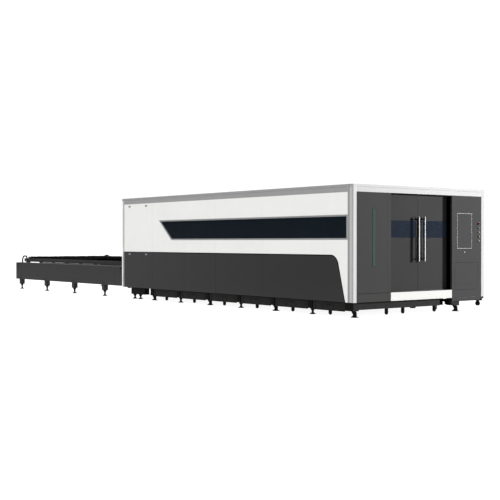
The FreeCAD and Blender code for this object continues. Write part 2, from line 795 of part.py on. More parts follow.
def screen_box():
    """The shallow box behind the front panel that holds the screen."""
    outer = block(
        (FRONT_T, FRONT_T + SCREEN_BOX_DEPTH),
        (SCREEN_NEAR - COVER_T, SCREEN_FAR + COVER_T),
        (SCREEN_LOW - COVER_T, SCREEN_HIGH + COVER_T),
    )
    inner = block(
        (FRONT_T, FRONT_T + SCREEN_BOX_DEPTH - COVER_T),
        (SCREEN_NEAR, SCREEN_FAR),
        (SCREEN_LOW, SCREEN_HIGH),
    )
    return outer.cut(inner)


def operator_station():
    """The screen in its box behind a hinged cover, and the cabinet door below."""
    cover = hinged_cover(SCREEN_NEAR, SCREEN_FAR, SCREEN_LOW, SCREEN_HIGH, COVER_T)
    save("screen_cover", cover)
    near = SCREEN_NEAR + HINGE_GAP
    far = SCREEN_FAR - HINGE_GAP
    low = SCREEN_LOW + HINGE_GAP
    high = SCREEN_HIGH - HINGE_GAP
    rim_back = (-RIM_T, 0)
    edge = (near + RIM_INSET, far - RIM_INSET)
    rim = block(rim_back, edge, (low + RIM_INSET, high - RIM_INSET))
    opening = block(
        rim_back,
        (edge[0] + SCREEN_RIM, edge[1] - SCREEN_RIM),
        (low + SCREEN_RIM, high - SCREEN_RIM),
    )
    save("screen_cover_rim", rim.cut(opening))
    display_depth = FRONT_T + SCREEN_BOX_DEPTH - COVER_T
    save(
        "touch_screen",
        block(
            (display_depth - COVER_T, display_depth),
            (SCREEN_NEAR + SCREEN_RIM, SCREEN_FAR - SCREEN_RIM),
            ((SCREEN_LOW + SCREEN_HIGH) / 2, SCREEN_HIGH - SCREEN_RIM),
        ),
    )
    cabinet = hinged_cover(CABINET_NEAR, CABINET_FAR, CABINET_LOW, CABINET_HIGH, CABINET_T)
    save("cabinet_door", cabinet)


def buttons():
    """Collars and a key lock on the panel, and the buttons whose stems slide through."""
    collars = []
    for name, up in zip(BUTTON_NAMES, BUTTON_UP):
        mushroom = name == BUTTON_NAMES[0]
        radius = MUSHROOM_R if mushroom else BUTTON_R
        face = place(0, BUTTON_ACROSS, up)
        collar_end = face + X_AXIS * COLLAR_T
        inner = BUTTON_STEM_R + PIN_GAP
        collars.append(ring(radius + COLLAR_W, inner, face, collar_end))
        head_start = collar_end + X_AXIS * (BUTTON_STROKE + SLIDE_GAP)
        head_end = head_start + X_AXIS * BUTTON_PROUD * (MUSHROOM_RATIO if mushroom else 1)
        stem_start = face - X_AXIS * (FRONT_T / 2)
        head = rod(radius, head_start, head_end)
        save(name, head.fuse(rod(BUTTON_STEM_R, stem_start, head_start)))
    lock_face = place(0, LOCK_ACROSS, LOCK_UP)
    save("panel_fittings", *collars, rod(LOCK_R, lock_face, lock_face + X_AXIS * COLLAR_T))


def x_guides():
    """A linear rail on top of each bed beam, and a gear rack on its inner edge."""
    span = (BED_START, BED_END)
    guides = []
    for across, rack_near in (
        (NEAR_BEAM, NEAR_BEAM_FAR - RACK_W),
        (FAR_BEAM_ACROSS, FAR_BEAM_ACROSS),
    ):
        middle = across + BEAM_W / 2
        rail = (middle - X_RAIL_W / 2, middle + X_RAIL_W / 2)
        guides.append(block(span, rail, (BEAM_TOP, BEAM_TOP + X_RAIL_H)))
        guides.append(block(span, (rack_near, rack_near + RACK_W), (BEAM_TOP, BEAM_TOP + RACK_H)))
    save("x_guides", *guides)


def gantry():
    """The cross beam on its end blocks, its rails and its two drives."""
    back = (GANTRY_HOME, GANTRY_HOME + GANTRY_L)
    blocks_up = (BEAM_TOP + X_RAIL_H + SLIDE_GAP, BEAM_TOP + X_RAIL_H + SLIDE_GAP + BLOCK_H)
    near_middle = NEAR_BEAM + BEAM_W / 2
    far_middle = FAR_BEAM_ACROSS + BEAM_W / 2
    ends = []
    bearings = []
    for middle in (near_middle, far_middle):
        half = BEAM_W / 2 - DRAWER_GAP
        ends.append(block(back, (middle - half, middle + half), (blocks_up[1], GANTRY_LOW)))
        for start in (back[0], back[1] - BEARING_L):
            bearing = block(
                (start, start + BEARING_L),
                (middle - BEARING_W / 2, middle + BEARING_W / 2),
                (BEAM_TOP + X_RAIL_H / 2, blocks_up[1]),
            )
            groove = block(
                (start, start + BEARING_L),
                (middle - X_RAIL_W / 2 - SLIDE_GAP, middle + X_RAIL_W / 2 + SLIDE_GAP),
                (BEAM_TOP, BEAM_TOP + X_RAIL_H + SLIDE_GAP),
            )
            bearings.append(bearing.cut(groove))
    reach = BEAM_W / 2 - DRAWER_GAP
    beam = tube(back, (near_middle - reach, far_middle + reach), (GANTRY_LOW, GANTRY_TOP), GANTRY_WALL)
    save("gantry_beam", beam.fuse(ends).removeSplitter())
    rails = []
    for up in (GANTRY_LOW + Y_RAIL_EDGE, GANTRY_TOP - Y_RAIL_EDGE):
        rails.append(
            block(
                (back[0] - Y_RAIL_T, back[0]),
                (near_middle - reach, far_middle + reach),
                (up - Y_RAIL_W / 2, up + Y_RAIL_W / 2),
            )
        )
    save("y_rails", *rails)
    motors = []
    for middle, way in ((near_middle, 1), (far_middle, -1)):
        start = place(back[1], middle, (GANTRY_LOW + GANTRY_TOP) / 2)
        motors.append(rod(MOTOR_R, start, start - X_AXIS * MOTOR_L))
    save("gantry_drives", *bearings, *motors)


def carriage_span():
    """The carriage's reach across at its home end."""
    return (CARRIAGE_NEAR, CARRIAGE_NEAR + CARRIAGE_W)


def cross_carriage():
    """The plate that runs along the gantry's rails."""
    face = GANTRY_HOME - Y_RAIL_T - SLIDE_GAP
    across = carriage_span()
    plate = block(
        (face - CARRIAGE_T, face),
        across,
        (GANTRY_LOW, GANTRY_TOP),
    )
    grips = []
    for up in (GANTRY_LOW + Y_RAIL_EDGE, GANTRY_TOP - Y_RAIL_EDGE):
        for way in (-1, 1):
            edge = up + way * (Y_RAIL_W / 2 + SLIDE_GAP)
            grips.append(
                block((face, face + Y_RAIL_T - SLIDE_GAP), across, sorted((edge, edge + way * Y_RAIL_T)))
            )
    save("cross_carriage", plate.fuse(grips).removeSplitter())


def cutting_head():
    """The laser head that slides up and down on the carriage, with its nozzle."""
    face = GANTRY_HOME - Y_RAIL_T - SLIDE_GAP - CARRIAGE_T - SLIDE_GAP
    across = carriage_span()
    middle = (across[0] + across[1]) / 2
    nozzle_top = NOZZLE_UP + NOZZLE_H
    body_low = nozzle_top + BARREL_H
    body_top = GANTRY_TOP + HEAD_RISE
    body = block(
        (face - HEAD_T, face),
        (middle - HEAD_W / 2, middle + HEAD_W / 2),
        (body_low, body_top),
    )
    axis_back = face - HEAD_T / 2
    collimator = rod(
        COLLIMATOR_R,
        place(axis_back, middle, body_top),
        place(axis_back, middle, body_top + COLLIMATOR_H),
    )
    save("cutting_head", body.fuse(collimator))
    barrel = rod(
        BARREL_R,
        place(axis_back, middle, nozzle_top),
        place(axis_back, middle, body_low),
    )
    tip = Part.makeCone(NOZZLE_TIP_R, NOZZLE_ROOT_R, NOZZLE_H, place(axis_back, middle, NOZZLE_UP))
    save("nozzle", barrel.fuse(tip))


def table_frame():
    """The exchange table: two deep side channels joined by cross members, on legs."""
    span = (CABIN_L, TOTAL_L)
    pieces = []
    for wall, flange, shelf in (
        (
            (TABLE_NEAR, TABLE_NEAR + TABLE_PLATE_T),
            (TABLE_NEAR, TABLE_NEAR + TABLE_FLANGE),
            (TABLE_NEAR, PALLET_NEAR + SHOE_W),
        ),
        (
            (TABLE_FAR - TABLE_PLATE_T, TABLE_FAR),
            (TABLE_FAR - TABLE_FLANGE, TABLE_FAR),
            (PALLET_FAR - SHOE_W, TABLE_FAR),
        ),
    ):
        pieces.append(block(span, wall, (TABLE_LOW, TABLE_TOP)))
        pieces.append(block(span, flange, (TABLE_LOW, TABLE_LOW + TABLE_PLATE_T)))
        pieces.append(block(span, shelf, (TABLE_TOP - TABLE_PLATE_T, TABLE_TOP)))
    inside = (TABLE_NEAR + TABLE_PLATE_T, TABLE_FAR - TABLE_PLATE_T)
    for back in table_legs():
        beam = (back - TABLE_CROSS / 2, back + TABLE_CROSS / 2)
        low = TABLE_LOW + TABLE_PLATE_T
        pieces.append(block(beam, inside, (low, low + TABLE_CROSS)))
        leg = (back - TABLE_LEG_W / 2, back + TABLE_LEG_W / 2)
        for near in (inside[0], inside[1] - TABLE_LEG_W):
            up = (TABLE_LEG_LOW, TABLE_LOW + TABLE_PLATE_T)
            pieces.append(block(leg, (near, near + TABLE_LEG_W), up))
    end = (TOTAL_L - TABLE_PLATE_T, TOTAL_L)
    pieces.append(block(end, inside, (TABLE_LOW, LOWER_TRACK_TOP - TRACK_STRIP_T)))
    save("table_frame", pieces[0].fuse(pieces[1:]).removeSplitter(), *corner_hoops())


def table_feet():
    """The levelling feet under the table's legs."""
    inside = (TABLE_NEAR + TABLE_PLATE_T, TABLE_FAR - TABLE_PLATE_T)
    feet = []
    for back in table_legs():
        for across in (inside[0] + TABLE_LEG_W / 2, inside[1] - TABLE_LEG_W / 2):
            feet.append(foot(back, across, TABLE_LEG_LOW))
    return feet


def pallet_tracks():
    """Two levels of flat track, from the front of the bed to the end of the table."""
    shoes = ((PALLET_NEAR, PALLET_NEAR + SHOE_W), (PALLET_FAR - SHOE_W, PALLET_FAR))
    bed_walls = (NEAR_BEAM_FAR, FAR_BEAM_ACROSS)
    table_walls = (TABLE_NEAR + TABLE_PLATE_T, TABLE_FAR - TABLE_PLATE_T)
    strips = []
    for shoe, bed_wall, table_wall in zip(shoes, bed_walls, table_walls):
        bed_strip = (min(shoe[0], bed_wall), max(shoe[1], bed_wall))
        table_strip = (min(shoe[0], table_wall), max(shoe[1], table_wall))
        for top in (UPPER_TRACK_TOP, LOWER_TRACK_TOP):
            strips.append(block((BED_START, CABIN_L), bed_strip, (top - TRACK_STRIP_T, top)))
        lower_up = (LOWER_TRACK_TOP - TRACK_STRIP_T, LOWER_TRACK_TOP)
        strips.append(block((CABIN_L, TOTAL_L), table_strip, lower_up))
        strips.append(block((CABIN_L, TOTAL_L), shoe, (TABLE_TOP, UPPER_TRACK_TOP)))
    save("pallet_tracks", *strips)


def pallet_frame(back, up):
    """A pallet's welded frame: two long bars and its cross bars."""
    bars = [
        block((back, back + PALLET_L), (PALLET_NEAR, PALLET_NEAR + PALLET_BAR_W), (up, up + PALLET_H)),
        block((back, back + PALLET_L), (PALLET_FAR - PALLET_BAR_W, PALLET_FAR), (up, up + PALLET_H)),
    ]
    inside = (PALLET_NEAR + PALLET_BAR_W, PALLET_FAR - PALLET_BAR_W)
    step = (PALLET_L - PALLET_BAR_W) / (PALLET_CROSSES - 1)
    cross_top = up + PALLET_H - SLAT_DROP
    for i in range(PALLET_CROSSES):
        start = back + i * step
        bars.append(block((start, start + PALLET_BAR_W), inside, (up, cross_top)))
    return bars[0].fuse(bars[1:]).removeSplitter()


def pallet_shoes(back, up):
    """The wear shoes that carry a pallet along its tracks."""
    shoes = []
    first = back + (PALLET_L - (SHOES - 1) * SHOE_PITCH) / 2
    for i in range(SHOES):
        middle = first + i * SHOE_PITCH
        span = (middle - SHOE_L / 2, middle + SHOE_L / 2)
        for near in (PALLET_NEAR, PALLET_FAR - SHOE_W):
            shoes.append(block(span, (near, near + SHOE_W), (up - SHOE_H, up)))
    return shoes


def slat(back, up):
    """One cutting slat: a thin strip on edge with a row of points along its top."""
    near = PALLET_NEAR + PALLET_BAR_W
    far = PALLET_FAR - PALLET_BAR_W
    tooth = (far - near) / SLAT_TEETH
    base = up + PALLET_H - SLAT_DROP
    root = up + PALLET_H
    outline = [(near, base), (near, root)]
    for i in range(SLAT_TEETH):
        outline.append((near + (i + 0.5) * tooth, root + SLAT_RISE))
        outline.append((near + (i + 1) * tooth, root))
    outline.append((far, base))
    return front_plate(outline, (back, back + SLAT_T))


def pallet(name, back, up):
    """A pallet: its frame on wear shoes, and its row of slats."""
    save(f"{name}_frame", pallet_frame(back, up), *pallet_shoes(back, up))
    count = int((PALLET_L - PALLET_BAR_W) / SLAT_PITCH)
    first = back + (PALLET_L - (count - 1) * SLAT_PITCH) / 2
    save(f"{name}_slats", *[slat(first + i * SLAT_PITCH, up) for i in range(count)])


def drive_shaft():
    """The shaft across the table's end with a sprocket for each chain."""
    near = TABLE_NEAR + TABLE_PLATE_T + SLIDE_GAP
    far = TABLE_FAR - TABLE_PLATE_T - SLIDE_GAP
    shaft = rod(SHAFT_R, place(SHAFT_BACK, near, SHAFT_UP), place(SHAFT_BACK, far, SHAFT_UP))
    wheels = []
    for across in (SPROCKET_NEAR, SPROCKET_FAR):
        points = []
        for i in range(SPROCKET_TEETH * 2):
            angle = math.pi * i / SPROCKET_TEETH
            radius = SPROCKET_R if i % 2 else SPROCKET_R - CHAIN_T
            points.append(
                place(SHAFT_BACK, across, SHAFT_UP)
                + X_AXIS * radius * math.cos(angle)
                + Z_AXIS * radius * math.sin(angle)
            )
        wire = Part.makePolygon(points + points[:1])
        wheels.append(Part.Face(wire).extrude(Y_AXIS * SPROCKET_T))
    save("drive_shaft", shaft.fuse(wheels).removeSplitter())


def drive_chains():
    """A closed chain round each sprocket, held tight at the cabin end by a round shoe."""
    pieces = []
    radius = SPROCKET_R + CHAIN_GAP
    for wall, across in (
        (TABLE_NEAR + TABLE_PLATE_T, SPROCKET_NEAR),
        (TABLE_FAR - TABLE_PLATE_T, SPROCKET_FAR),
    ):
        width = (across, across + SPROCKET_T)
        loops = []
        for reach in (radius + CHAIN_T, radius):
            outline = [
                (CHAIN_END - reach, SHAFT_UP - reach),
                (SHAFT_BACK + reach, SHAFT_UP - reach),
                (SHAFT_BACK + reach, SHAFT_UP + reach),
                (CHAIN_END - reach, SHAFT_UP + reach),
            ]
            loops.append(side_plate(outline, width, [reach - PIN_GAP] * 4))
        pieces.append(loops[0].cut(loops[1]))
        far_side = max(wall, width[1])
        near_side = min(wall, width[0])
        pieces.append(
            rod(
                radius - SLIDE_GAP,
                place(CHAIN_END, near_side, SHAFT_UP),
                place(CHAIN_END, far_side, SHAFT_UP),
            )
        )
    return pieces


def shaft_bearings():
    """The bearing blocks of the drive shaft, on the table's side plates."""
    blocks = []
    half = SHAFT_R * 2
    up = (SHAFT_UP - half, SHAFT_UP + half)
    for near, far in (
        (TABLE_NEAR + TABLE_PLATE_T, TABLE_NEAR + TABLE_PLATE_T + SHAFT_R),
        (TABLE_FAR - TABLE_PLATE_T - SHAFT_R, TABLE_FAR - TABLE_PLATE_T),
    ):
        body = block((SHAFT_BACK - half, SHAFT_BACK + half), (near, far), up)
        bore = rod(
            SHAFT_R + PIN_GAP,
            place(SHAFT_BACK, near, SHAFT_UP),
            place(SHAFT_BACK, far, SHAFT_UP),
        )
        blocks.append(body.cut(bore))
    return blocks


def gear_motor():
    """The geared motor round the shaft, on an arm from the table's end plate."""
    half = SHAFT_R * 2
    across = (PALLET_FAR - GEARBOX_W * 2, PALLET_FAR - GEARBOX_W)
    case = block(
        (SHAFT_BACK - half, TOTAL_L - TABLE_PLATE_T),
        across,
        (SHAFT_UP - half, SHAFT_UP - SHAFT_R - PIN_GAP * 2),
    )
    body = block((SHAFT_BACK - half, SHAFT_BACK + half), across, (SHAFT_UP - half, SHAFT_UP + half))
    bore = rod(
        SHAFT_R + PIN_GAP,
        place(SHAFT_BACK, across[0], SHAFT_UP),
        place(SHAFT_BACK, across[1], SHAFT_UP),
    )
    middle = (across[0] + across[1]) / 2
    start = place(SHAFT_BACK - half, middle, SHAFT_UP)
    motor = rod(half, start, start + X_AXIS * MOTOR_L)
    return body.fuse([case, motor]).cut(bore)


def pallet_drive():
    """The chains, bearings and motor that move the pallets, beside their shaft."""
    drive_shaft()
    save("chain_drive", *drive_chains(), *shaft_bearings(), gear_motor())


def bend(start, end, radius, way):
    """A quarter circle that leaves start along the first way and ends along the second."""
    corner = start + way[0] * radius
    middle = corner + (way[1] - way[0]) * radius * (1 - math.cos(math.pi / 4))
    return Part.Arc(start, middle, end).toShape()


def corner_hoops():
    """Bent tube hoops that guard the table's outer corners."""
    hoops = []
    for across in (TABLE_NEAR + TABLE_FLANGE / 2, TABLE_FAR - TABLE_FLANGE / 2):
        foot_out = place(TOTAL_L - HOOP_END, across, TABLE_TOP)
        knee = foot_out + Z_AXIS * (HOOP_RISE - HOOP_BEND)
        top_out = knee + (Z_AXIS + X_AXIS) * HOOP_BEND
        top_in = top_out + X_AXIS * HOOP_RUN
        elbow = top_in + (X_AXIS - Z_AXIS) * HOOP_TURN
        foot_in = elbow - Z_AXIS * (HOOP_RISE - HOOP_TURN)
        path = Part.Wire(
            [
                Part.LineSegment(foot_out, knee).toShape(),
                bend(knee, top_out, HOOP_BEND, (Z_AXIS, X_AXIS)),
                Part.LineSegment(top_out, top_in).toShape(),
                bend(top_in, elbow, HOOP_TURN, (X_AXIS, Z_AXIS * -1)),
                Part.LineSegment(elbow, foot_in).toShape(),
            ]
        )
        profile = Part.Wire([Part.Circle(foot_out, Z_AXIS, HOOP_R).toShape()])
        hoops.append(path.makePipeShell([profile], True, False))
    return hoops


def built_in_cabinets():
    """The laser source and the control rack in the strip beyond the bed."""
    floor_up = SKIRT_UP + FLOOR_T
    across = (FAR_BEAM_END + SOURCE_MARGIN, FAR_PANEL - SOURCE_MARGIN)
    rack_end = RACK_START + RACK_L
    up = (floor_up, floor_up + SOURCE_H)
    save("control_rack", block((RACK_START, rack_end), across, up))
    source_start = rack_end + SOURCE_L
    save("laser_source", block((source_start, source_start + SOURCE_L), across, up))


os.makedirs("parts", exist_ok=True)
bed_frame()
cabin_floor()
levelling_feet()
for index, station in enumerate(stations()[:-1]):
    scrap_drawer(index + 1, station)
corner_posts()
roof()
near_side()
flat_side_panels()
rear_wall()
front_walls()
door_tracks()
doors()
light_strip()
operator_station()
buttons()
x_guides()
gantry()
cross_carriage()
cutting_head()
table_frame()
pallet_tracks()
pallet("outer_pallet", PALLET_BACK, UPPER_PALLET_UP)
pallet("inner_pallet", INNER_PALLET_BACK, LOWER_PALLET_UP)
pallet_drive()
built_in_cabinets()
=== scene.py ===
"""Looks of a fiber laser cutting machine with an exchange table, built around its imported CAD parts."""
import math
import random
import bmesh
import bpy
from mathutils import Matrix, Vector


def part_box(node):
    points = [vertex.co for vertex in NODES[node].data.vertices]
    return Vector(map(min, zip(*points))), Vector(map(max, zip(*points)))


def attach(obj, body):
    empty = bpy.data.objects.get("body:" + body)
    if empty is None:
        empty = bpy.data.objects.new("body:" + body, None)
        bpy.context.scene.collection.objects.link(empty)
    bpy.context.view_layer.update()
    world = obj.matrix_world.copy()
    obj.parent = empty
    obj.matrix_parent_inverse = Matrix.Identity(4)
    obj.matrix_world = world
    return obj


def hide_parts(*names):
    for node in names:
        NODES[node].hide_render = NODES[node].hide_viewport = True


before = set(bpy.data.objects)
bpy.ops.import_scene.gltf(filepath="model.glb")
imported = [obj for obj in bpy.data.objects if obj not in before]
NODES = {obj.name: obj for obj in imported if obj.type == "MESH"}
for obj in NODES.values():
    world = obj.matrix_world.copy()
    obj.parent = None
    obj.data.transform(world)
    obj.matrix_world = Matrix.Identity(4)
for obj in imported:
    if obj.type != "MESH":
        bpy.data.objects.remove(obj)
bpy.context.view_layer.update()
SCENE = bpy.context.scene
UP = Vector((0, 0, 1))
FORWARD = Vector((1, 0, 0))
ACROSS = Vector((0, 1, 0))
ROOM_LIGHT = 0.13
BACKDROP_LIGHT = 1.05


def low(node):
    """Lowest corner of a CAD node."""
    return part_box(node)[0]


def high(node):
    """Highest corner of a CAD node."""
    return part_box(node)[1]


FRONT = high("corner_posts").x
REAR = low("corner_posts").x
NEAR = low("corner_posts").y
FAR = high("corner_posts").y
TOP = high("corner_posts").z
SKIRT = low("corner_posts").z
SIDES = ((NEAR, -1), (FAR, 1))
PANE_JOINTS = (1.448, 2.79, 4.123, 4.83, 5.62)
SHEET_JOINTS = (2.66, 4.251, 5.45)
SLAT_PITCH = 0.150
SLAT_THICK = 0.006


# ---------------------------------------------------------------- finishes


class Wire:
    """One output of a finish's nodes. Sums written on it add Math nodes."""

    def __init__(self, finish, socket):
        self.finish = finish
        self.socket = socket

    def sum(self, operation, *values):
        return self.finish.node("ShaderNodeMath", {"operation": operation}, dict(enumerate(values)))

    def __add__(self, other):
        return self.sum("ADD", self, other)

    def __radd__(self, other):
        return self.sum("ADD", other, self)

    def __sub__(self, other):
        return self.sum("SUBTRACT", self, other)

    def __rsub__(self, other):
        return self.sum("SUBTRACT", other, self)

    def __mul__(self, other):
        return self.sum("MULTIPLY", self, other)

    def __rmul__(self, other):
        return self.sum("MULTIPLY", other, self)

    def __pow__(self, other):
        return self.sum("POWER", self, other)

    def most(self, other):
        return self.sum("MAXIMUM", self, other)

    def ramp(self, start, end):
        """0 below start, 1 above end, smooth between."""
        settings = {"interpolation_type": "SMOOTHSTEP"}
        values = {"Value": self, "From Min": start, "From Max": end}
        return self.finish.node("ShaderNodeMapRange", settings, values)

    def wave(self, pitch):
        """Sine of the value with the given pitch."""
        return self.sum("SINE", self * (math.tau / pitch))


class Finish:
    """A material with nodes, named for what it is on the machine."""

    def __init__(self, name, **constants):
        self.material = bpy.data.materials.new(name)
        self.material.use_nodes = True
        self.tree = self.material.node_tree
        self.shader = self.tree.nodes["Principled BSDF"]
        self.paint(**constants)
        self.place = self.node("ShaderNodeTexCoord", output="Object")
        self.axes = self.node("ShaderNodeSeparateXYZ", values={"Vector": self.place}, output=None)

    def node(self, kind, settings=None, values=None, output=0):
        """Adds a node, gives its settings and then its sockets, and returns one output or all."""
        made = self.tree.nodes.new(kind)
        for name, setting in (settings or {}).items():
            setattr(made, name, setting)
        for key, value in (values or {}).items():
            self.join(pick(made.inputs, key), value)
        if output is None:
            return [Wire(self, socket) for socket in made.outputs]
        return Wire(self, pick(made.outputs, output))

    def join(self, socket, value):
        if isinstance(value, Wire):
            self.tree.links.new(value.socket, socket)
        else:
            socket.default_value = value

    def paint(self, **values):
        """Sets or links the shader's own sockets: base_color, roughness, specular_ior_level ..."""
        for name, value in values.items():
            self.join(self.shader.inputs[SOCKET_NAMES[name]], value)

    def noise(self, scale, detail=3, place=None, rough=0.55):
        """Cloudy noise; scale is its cells a metre."""
        values = {"Vector": place or self.place, "Scale": scale, "Detail": detail, "Roughness": rough}
        return self.node("ShaderNodeTexNoise", None, values, "Fac")

    def stretched(self, x, y, z):
        """The place scaled along each axis, for grain that runs one way."""
        return self.node("ShaderNodeVectorMath", {"operation": "MULTIPLY"}, {0: self.place, 1: (x, y, z)})

    def mix(self, factor, first, second):
        """A colour between the first, at 0, and the second, at 1."""
        settings = {"data_type": "RGBA"}
        values = {"Factor_Float": factor, "A_Color": first, "B_Color": second}
        return self.node("ShaderNodeMix", settings, values, "Result_Color")

    def bump(self, height, depth, strength=1.0):
        """Raises the surface by height times depth metres."""
        values = {"Height": height, "Distance": depth, "Strength": strength}
        self.paint(normal=self.node("ShaderNodeBump", None, values))


SOCKET_NAMES = {
    "base_color": "Base Color",
    "roughness": "Roughness",
    "metallic": "Metallic",
    "specular": "Specular IOR Level",
    "coat": "Coat Weight",
    "coat_roughness": "Coat Roughness",
    "normal": "Normal",
    "glow": "Emission Color",
    "glow_strength": "Emission Strength",
}


def pick(sockets, key):
    """A node's socket by number or by identifier."""
    if isinstance(key, int):
        return sockets[key]
    return next(socket for socket in sockets if socket.identifier == key or socket.name == key)


def hue(code, lift=1.0):
    """Linear colour of a hex code."""
    parts = [int(code[start:start + 2], 16) / 255 for start in (0, 2, 4)]
    linear = [part / 12.92 if part < 0.04045 else ((part + 0.055) / 1.055) ** 2.4 for part in parts]
    return tuple(min(1.0, part * lift) for part in linear) + (1.0,)


def shade(colour, by):
    """The colour made lighter or darker."""
    return tuple(min(1.0, part * by) for part in colour[:3]) + (1.0,)


def powder_coat(name, code, lift=1.0, rough=0.5, specular=0.3, dust=0.25, rear_painted_light=0.0):
    """Oven-baked powder paint: fine orange peel, slow tone shifts, dust low down, faint rub marks.

    The last argument is painted light: it lightens the paint towards the table's end.
    """
    colour = hue(code, lift)
    finish = Finish(name, specular=specular, coat_roughness=0.25)
    broad = finish.noise(0.9, 4)
    cloud = finish.noise(6.0, 3)
    peeling = finish.noise(420.0, 2)
    rub = finish.noise(3.0, 5, finish.stretched(0.6, 0.6, 7.0), 0.7).ramp(0.60, 0.74)
    height = finish.axes[2]
    settled = (1 - height.ramp(0.05, 0.75)) * cloud * dust
    tone = finish.mix(broad * 0.55 + cloud * 0.35, shade(colour, 0.93), shade(colour, 1.07))
    tone = finish.mix(rub * 0.16, tone, shade(colour, 1.35))
    tone = finish.mix(settled * 0.5, tone, hue("8d8880"))
    finish.paint(base_color=tone, roughness=(rough - 0.05) + broad * 0.08 + rub * 0.08 + settled * 0.2)
    # Painted light: the paint is lightened towards the table's end.
    if rear_painted_light:
        tone = finish.mix(1 - finish.axes[0].ramp(-1.5, 6.5), tone, shade(colour, 1 + rear_painted_light))
        finish.paint(base_color=tone)
    finish.bump(peeling * 0.7 + cloud * 0.6, 0.00012)
    return finish.material


def bare_metal(name, code, rough=0.32, grain=(1, 60, 60), metallic=1.0, stain=0.25):
    """Drawn or machined metal: fine grain along one way, handling marks, a little tarnish."""
    colour = hue(code)
    finish = Finish(name)
    lines = finish.noise(26.0, 4, finish.stretched(*grain), 0.7)
    patch = finish.noise(4.5, 4)
    spots = finish.noise(60.0, 3).ramp(0.62, 0.74)
    tone = finish.mix(lines, shade(colour, 0.86), shade(colour, 1.1))
    tone = finish.mix(patch.ramp(0.45, 0.75) * stain, tone, shade(colour, 0.6))
    finish.paint(
        base_color=tone,
        metallic=metallic - spots * 0.15,
        roughness=(rough - 0.08) + lines * 0.1 + patch * 0.1 + spots * 0.1,
    )
    finish.bump(lines, 0.00012, 0.7)
    return finish.material


def mill_steel(name, code, rust=0.3, specular=0.3):
    """Hot-rolled steel that is cut and heated all day: scale, spatter, soot and a little rust."""
    colour = hue(code)
    finish = Finish(name, specular=specular)
    scale = finish.noise(9.0, 6, None, 0.65)
    soot = finish.noise(2.2, 4).ramp(0.4, 0.75)
    drops = finish.node("ShaderNodeTexVoronoi", None, {"Vector": finish.place, "Scale": 95.0}, "Distance")
    spatter = (1 - drops.ramp(0.02, 0.16)) * finish.noise(14.0).ramp(0.5, 0.66)
    rusty = finish.noise(17.0, 5, None, 0.7).ramp(0.56, 0.72) * rust
    tone = finish.mix(scale, shade(colour, 0.7), shade(colour, 1.35))
    tone = finish.mix(soot * 0.5, tone, shade(colour, 0.5))
    tone = finish.mix(rusty, tone, hue("5d4030"))
    tone = finish.mix(spatter * 0.8, tone, hue("a7a39c"))
    finish.paint(base_color=tone, metallic=0.35 - rusty * 0.3, roughness=0.5 + scale * 0.2 + rusty * 0.2)
    finish.bump(scale * 0.6 + spatter * 2, 0.0004)
    return finish.material


def moulded(name, code, rough=0.38, specular=0.45):
    """Moulded plastic or rubber: fine texture, faint flow marks, finger marks."""
    colour = hue(code)
    finish = Finish(name, specular=specular, coat_roughness=0.2)
    flow = finish.noise(22.0, 4, finish.stretched(1, 1, 3))
    grit = finish.noise(1500.0, 2)
    touch = finish.noise(40.0, 4).ramp(0.5, 0.75)
    tone = finish.mix(flow, shade(colour, 0.9), shade(colour, 1.1))
    tone = finish.mix(touch * 0.12, tone, shade(colour, 0.7))
    finish.paint(base_color=tone, roughness=rough + touch * 0.12 - flow * 0.05)
    finish.bump(grit + flow, 0.00008)
    return finish.material


def tinted_pane(name, code, specular=0.25, painted_sky_reflection=0.5):
    """Dark laser-safe acrylic: deep tint that drifts over the sheet, lightened in patches as a painted sky
    reflection, wipe marks, a slight bow.
    """
    colour = hue(code)
    finish = Finish(name, specular=specular, coat_roughness=0.04)
    drift = finish.noise(0.8, 3)
    wipes = finish.noise(3.0, 5, finish.stretched(2, 2, 12), 0.75).ramp(0.5, 0.8)
    bow = finish.noise(1.4, 1)
    # The lighter end of the drift is a painted reflection of the sky.
    tone = finish.mix(drift, shade(colour, 0.8), shade(colour, 1.0 + painted_sky_reflection))
    finish.paint(base_color=tone, roughness=0.1 + wipes * 0.14, coat=0.05 - wipes * 0.03)
    finish.bump(bow, 0.0015, 0.5)
    return finish.material


def light_tube(name):
    """Milky light strip: the rows of lamps behind it show as a slow beat, with a darker far side."""
    finish = Finish(name, specular=0.01, glow_strength=0.05)
    beat = finish.axes[2].wave(0.035) * 0.5 + 0.5
    side = finish.axes[1].ramp(low("light_strip").y + 0.012, high("light_strip").y - 0.012)
    haze = finish.noise(30.0, 3)
    body = finish.mix(side, hue("303f3a"), hue("28352f"))
    body = finish.mix(haze * 0.3, body, hue("33483f"))
    glow = finish.mix(side, hue("4f8d74"), hue("1f3a33"))
    glow = finish.mix(beat * 0.22, glow, hue("8fc4ae"))
    finish.paint(base_color=body, glow=glow, roughness=0.7 + haze * 0.15)
    finish.bump(beat, 0.0003, 0.4)
    return finish.material


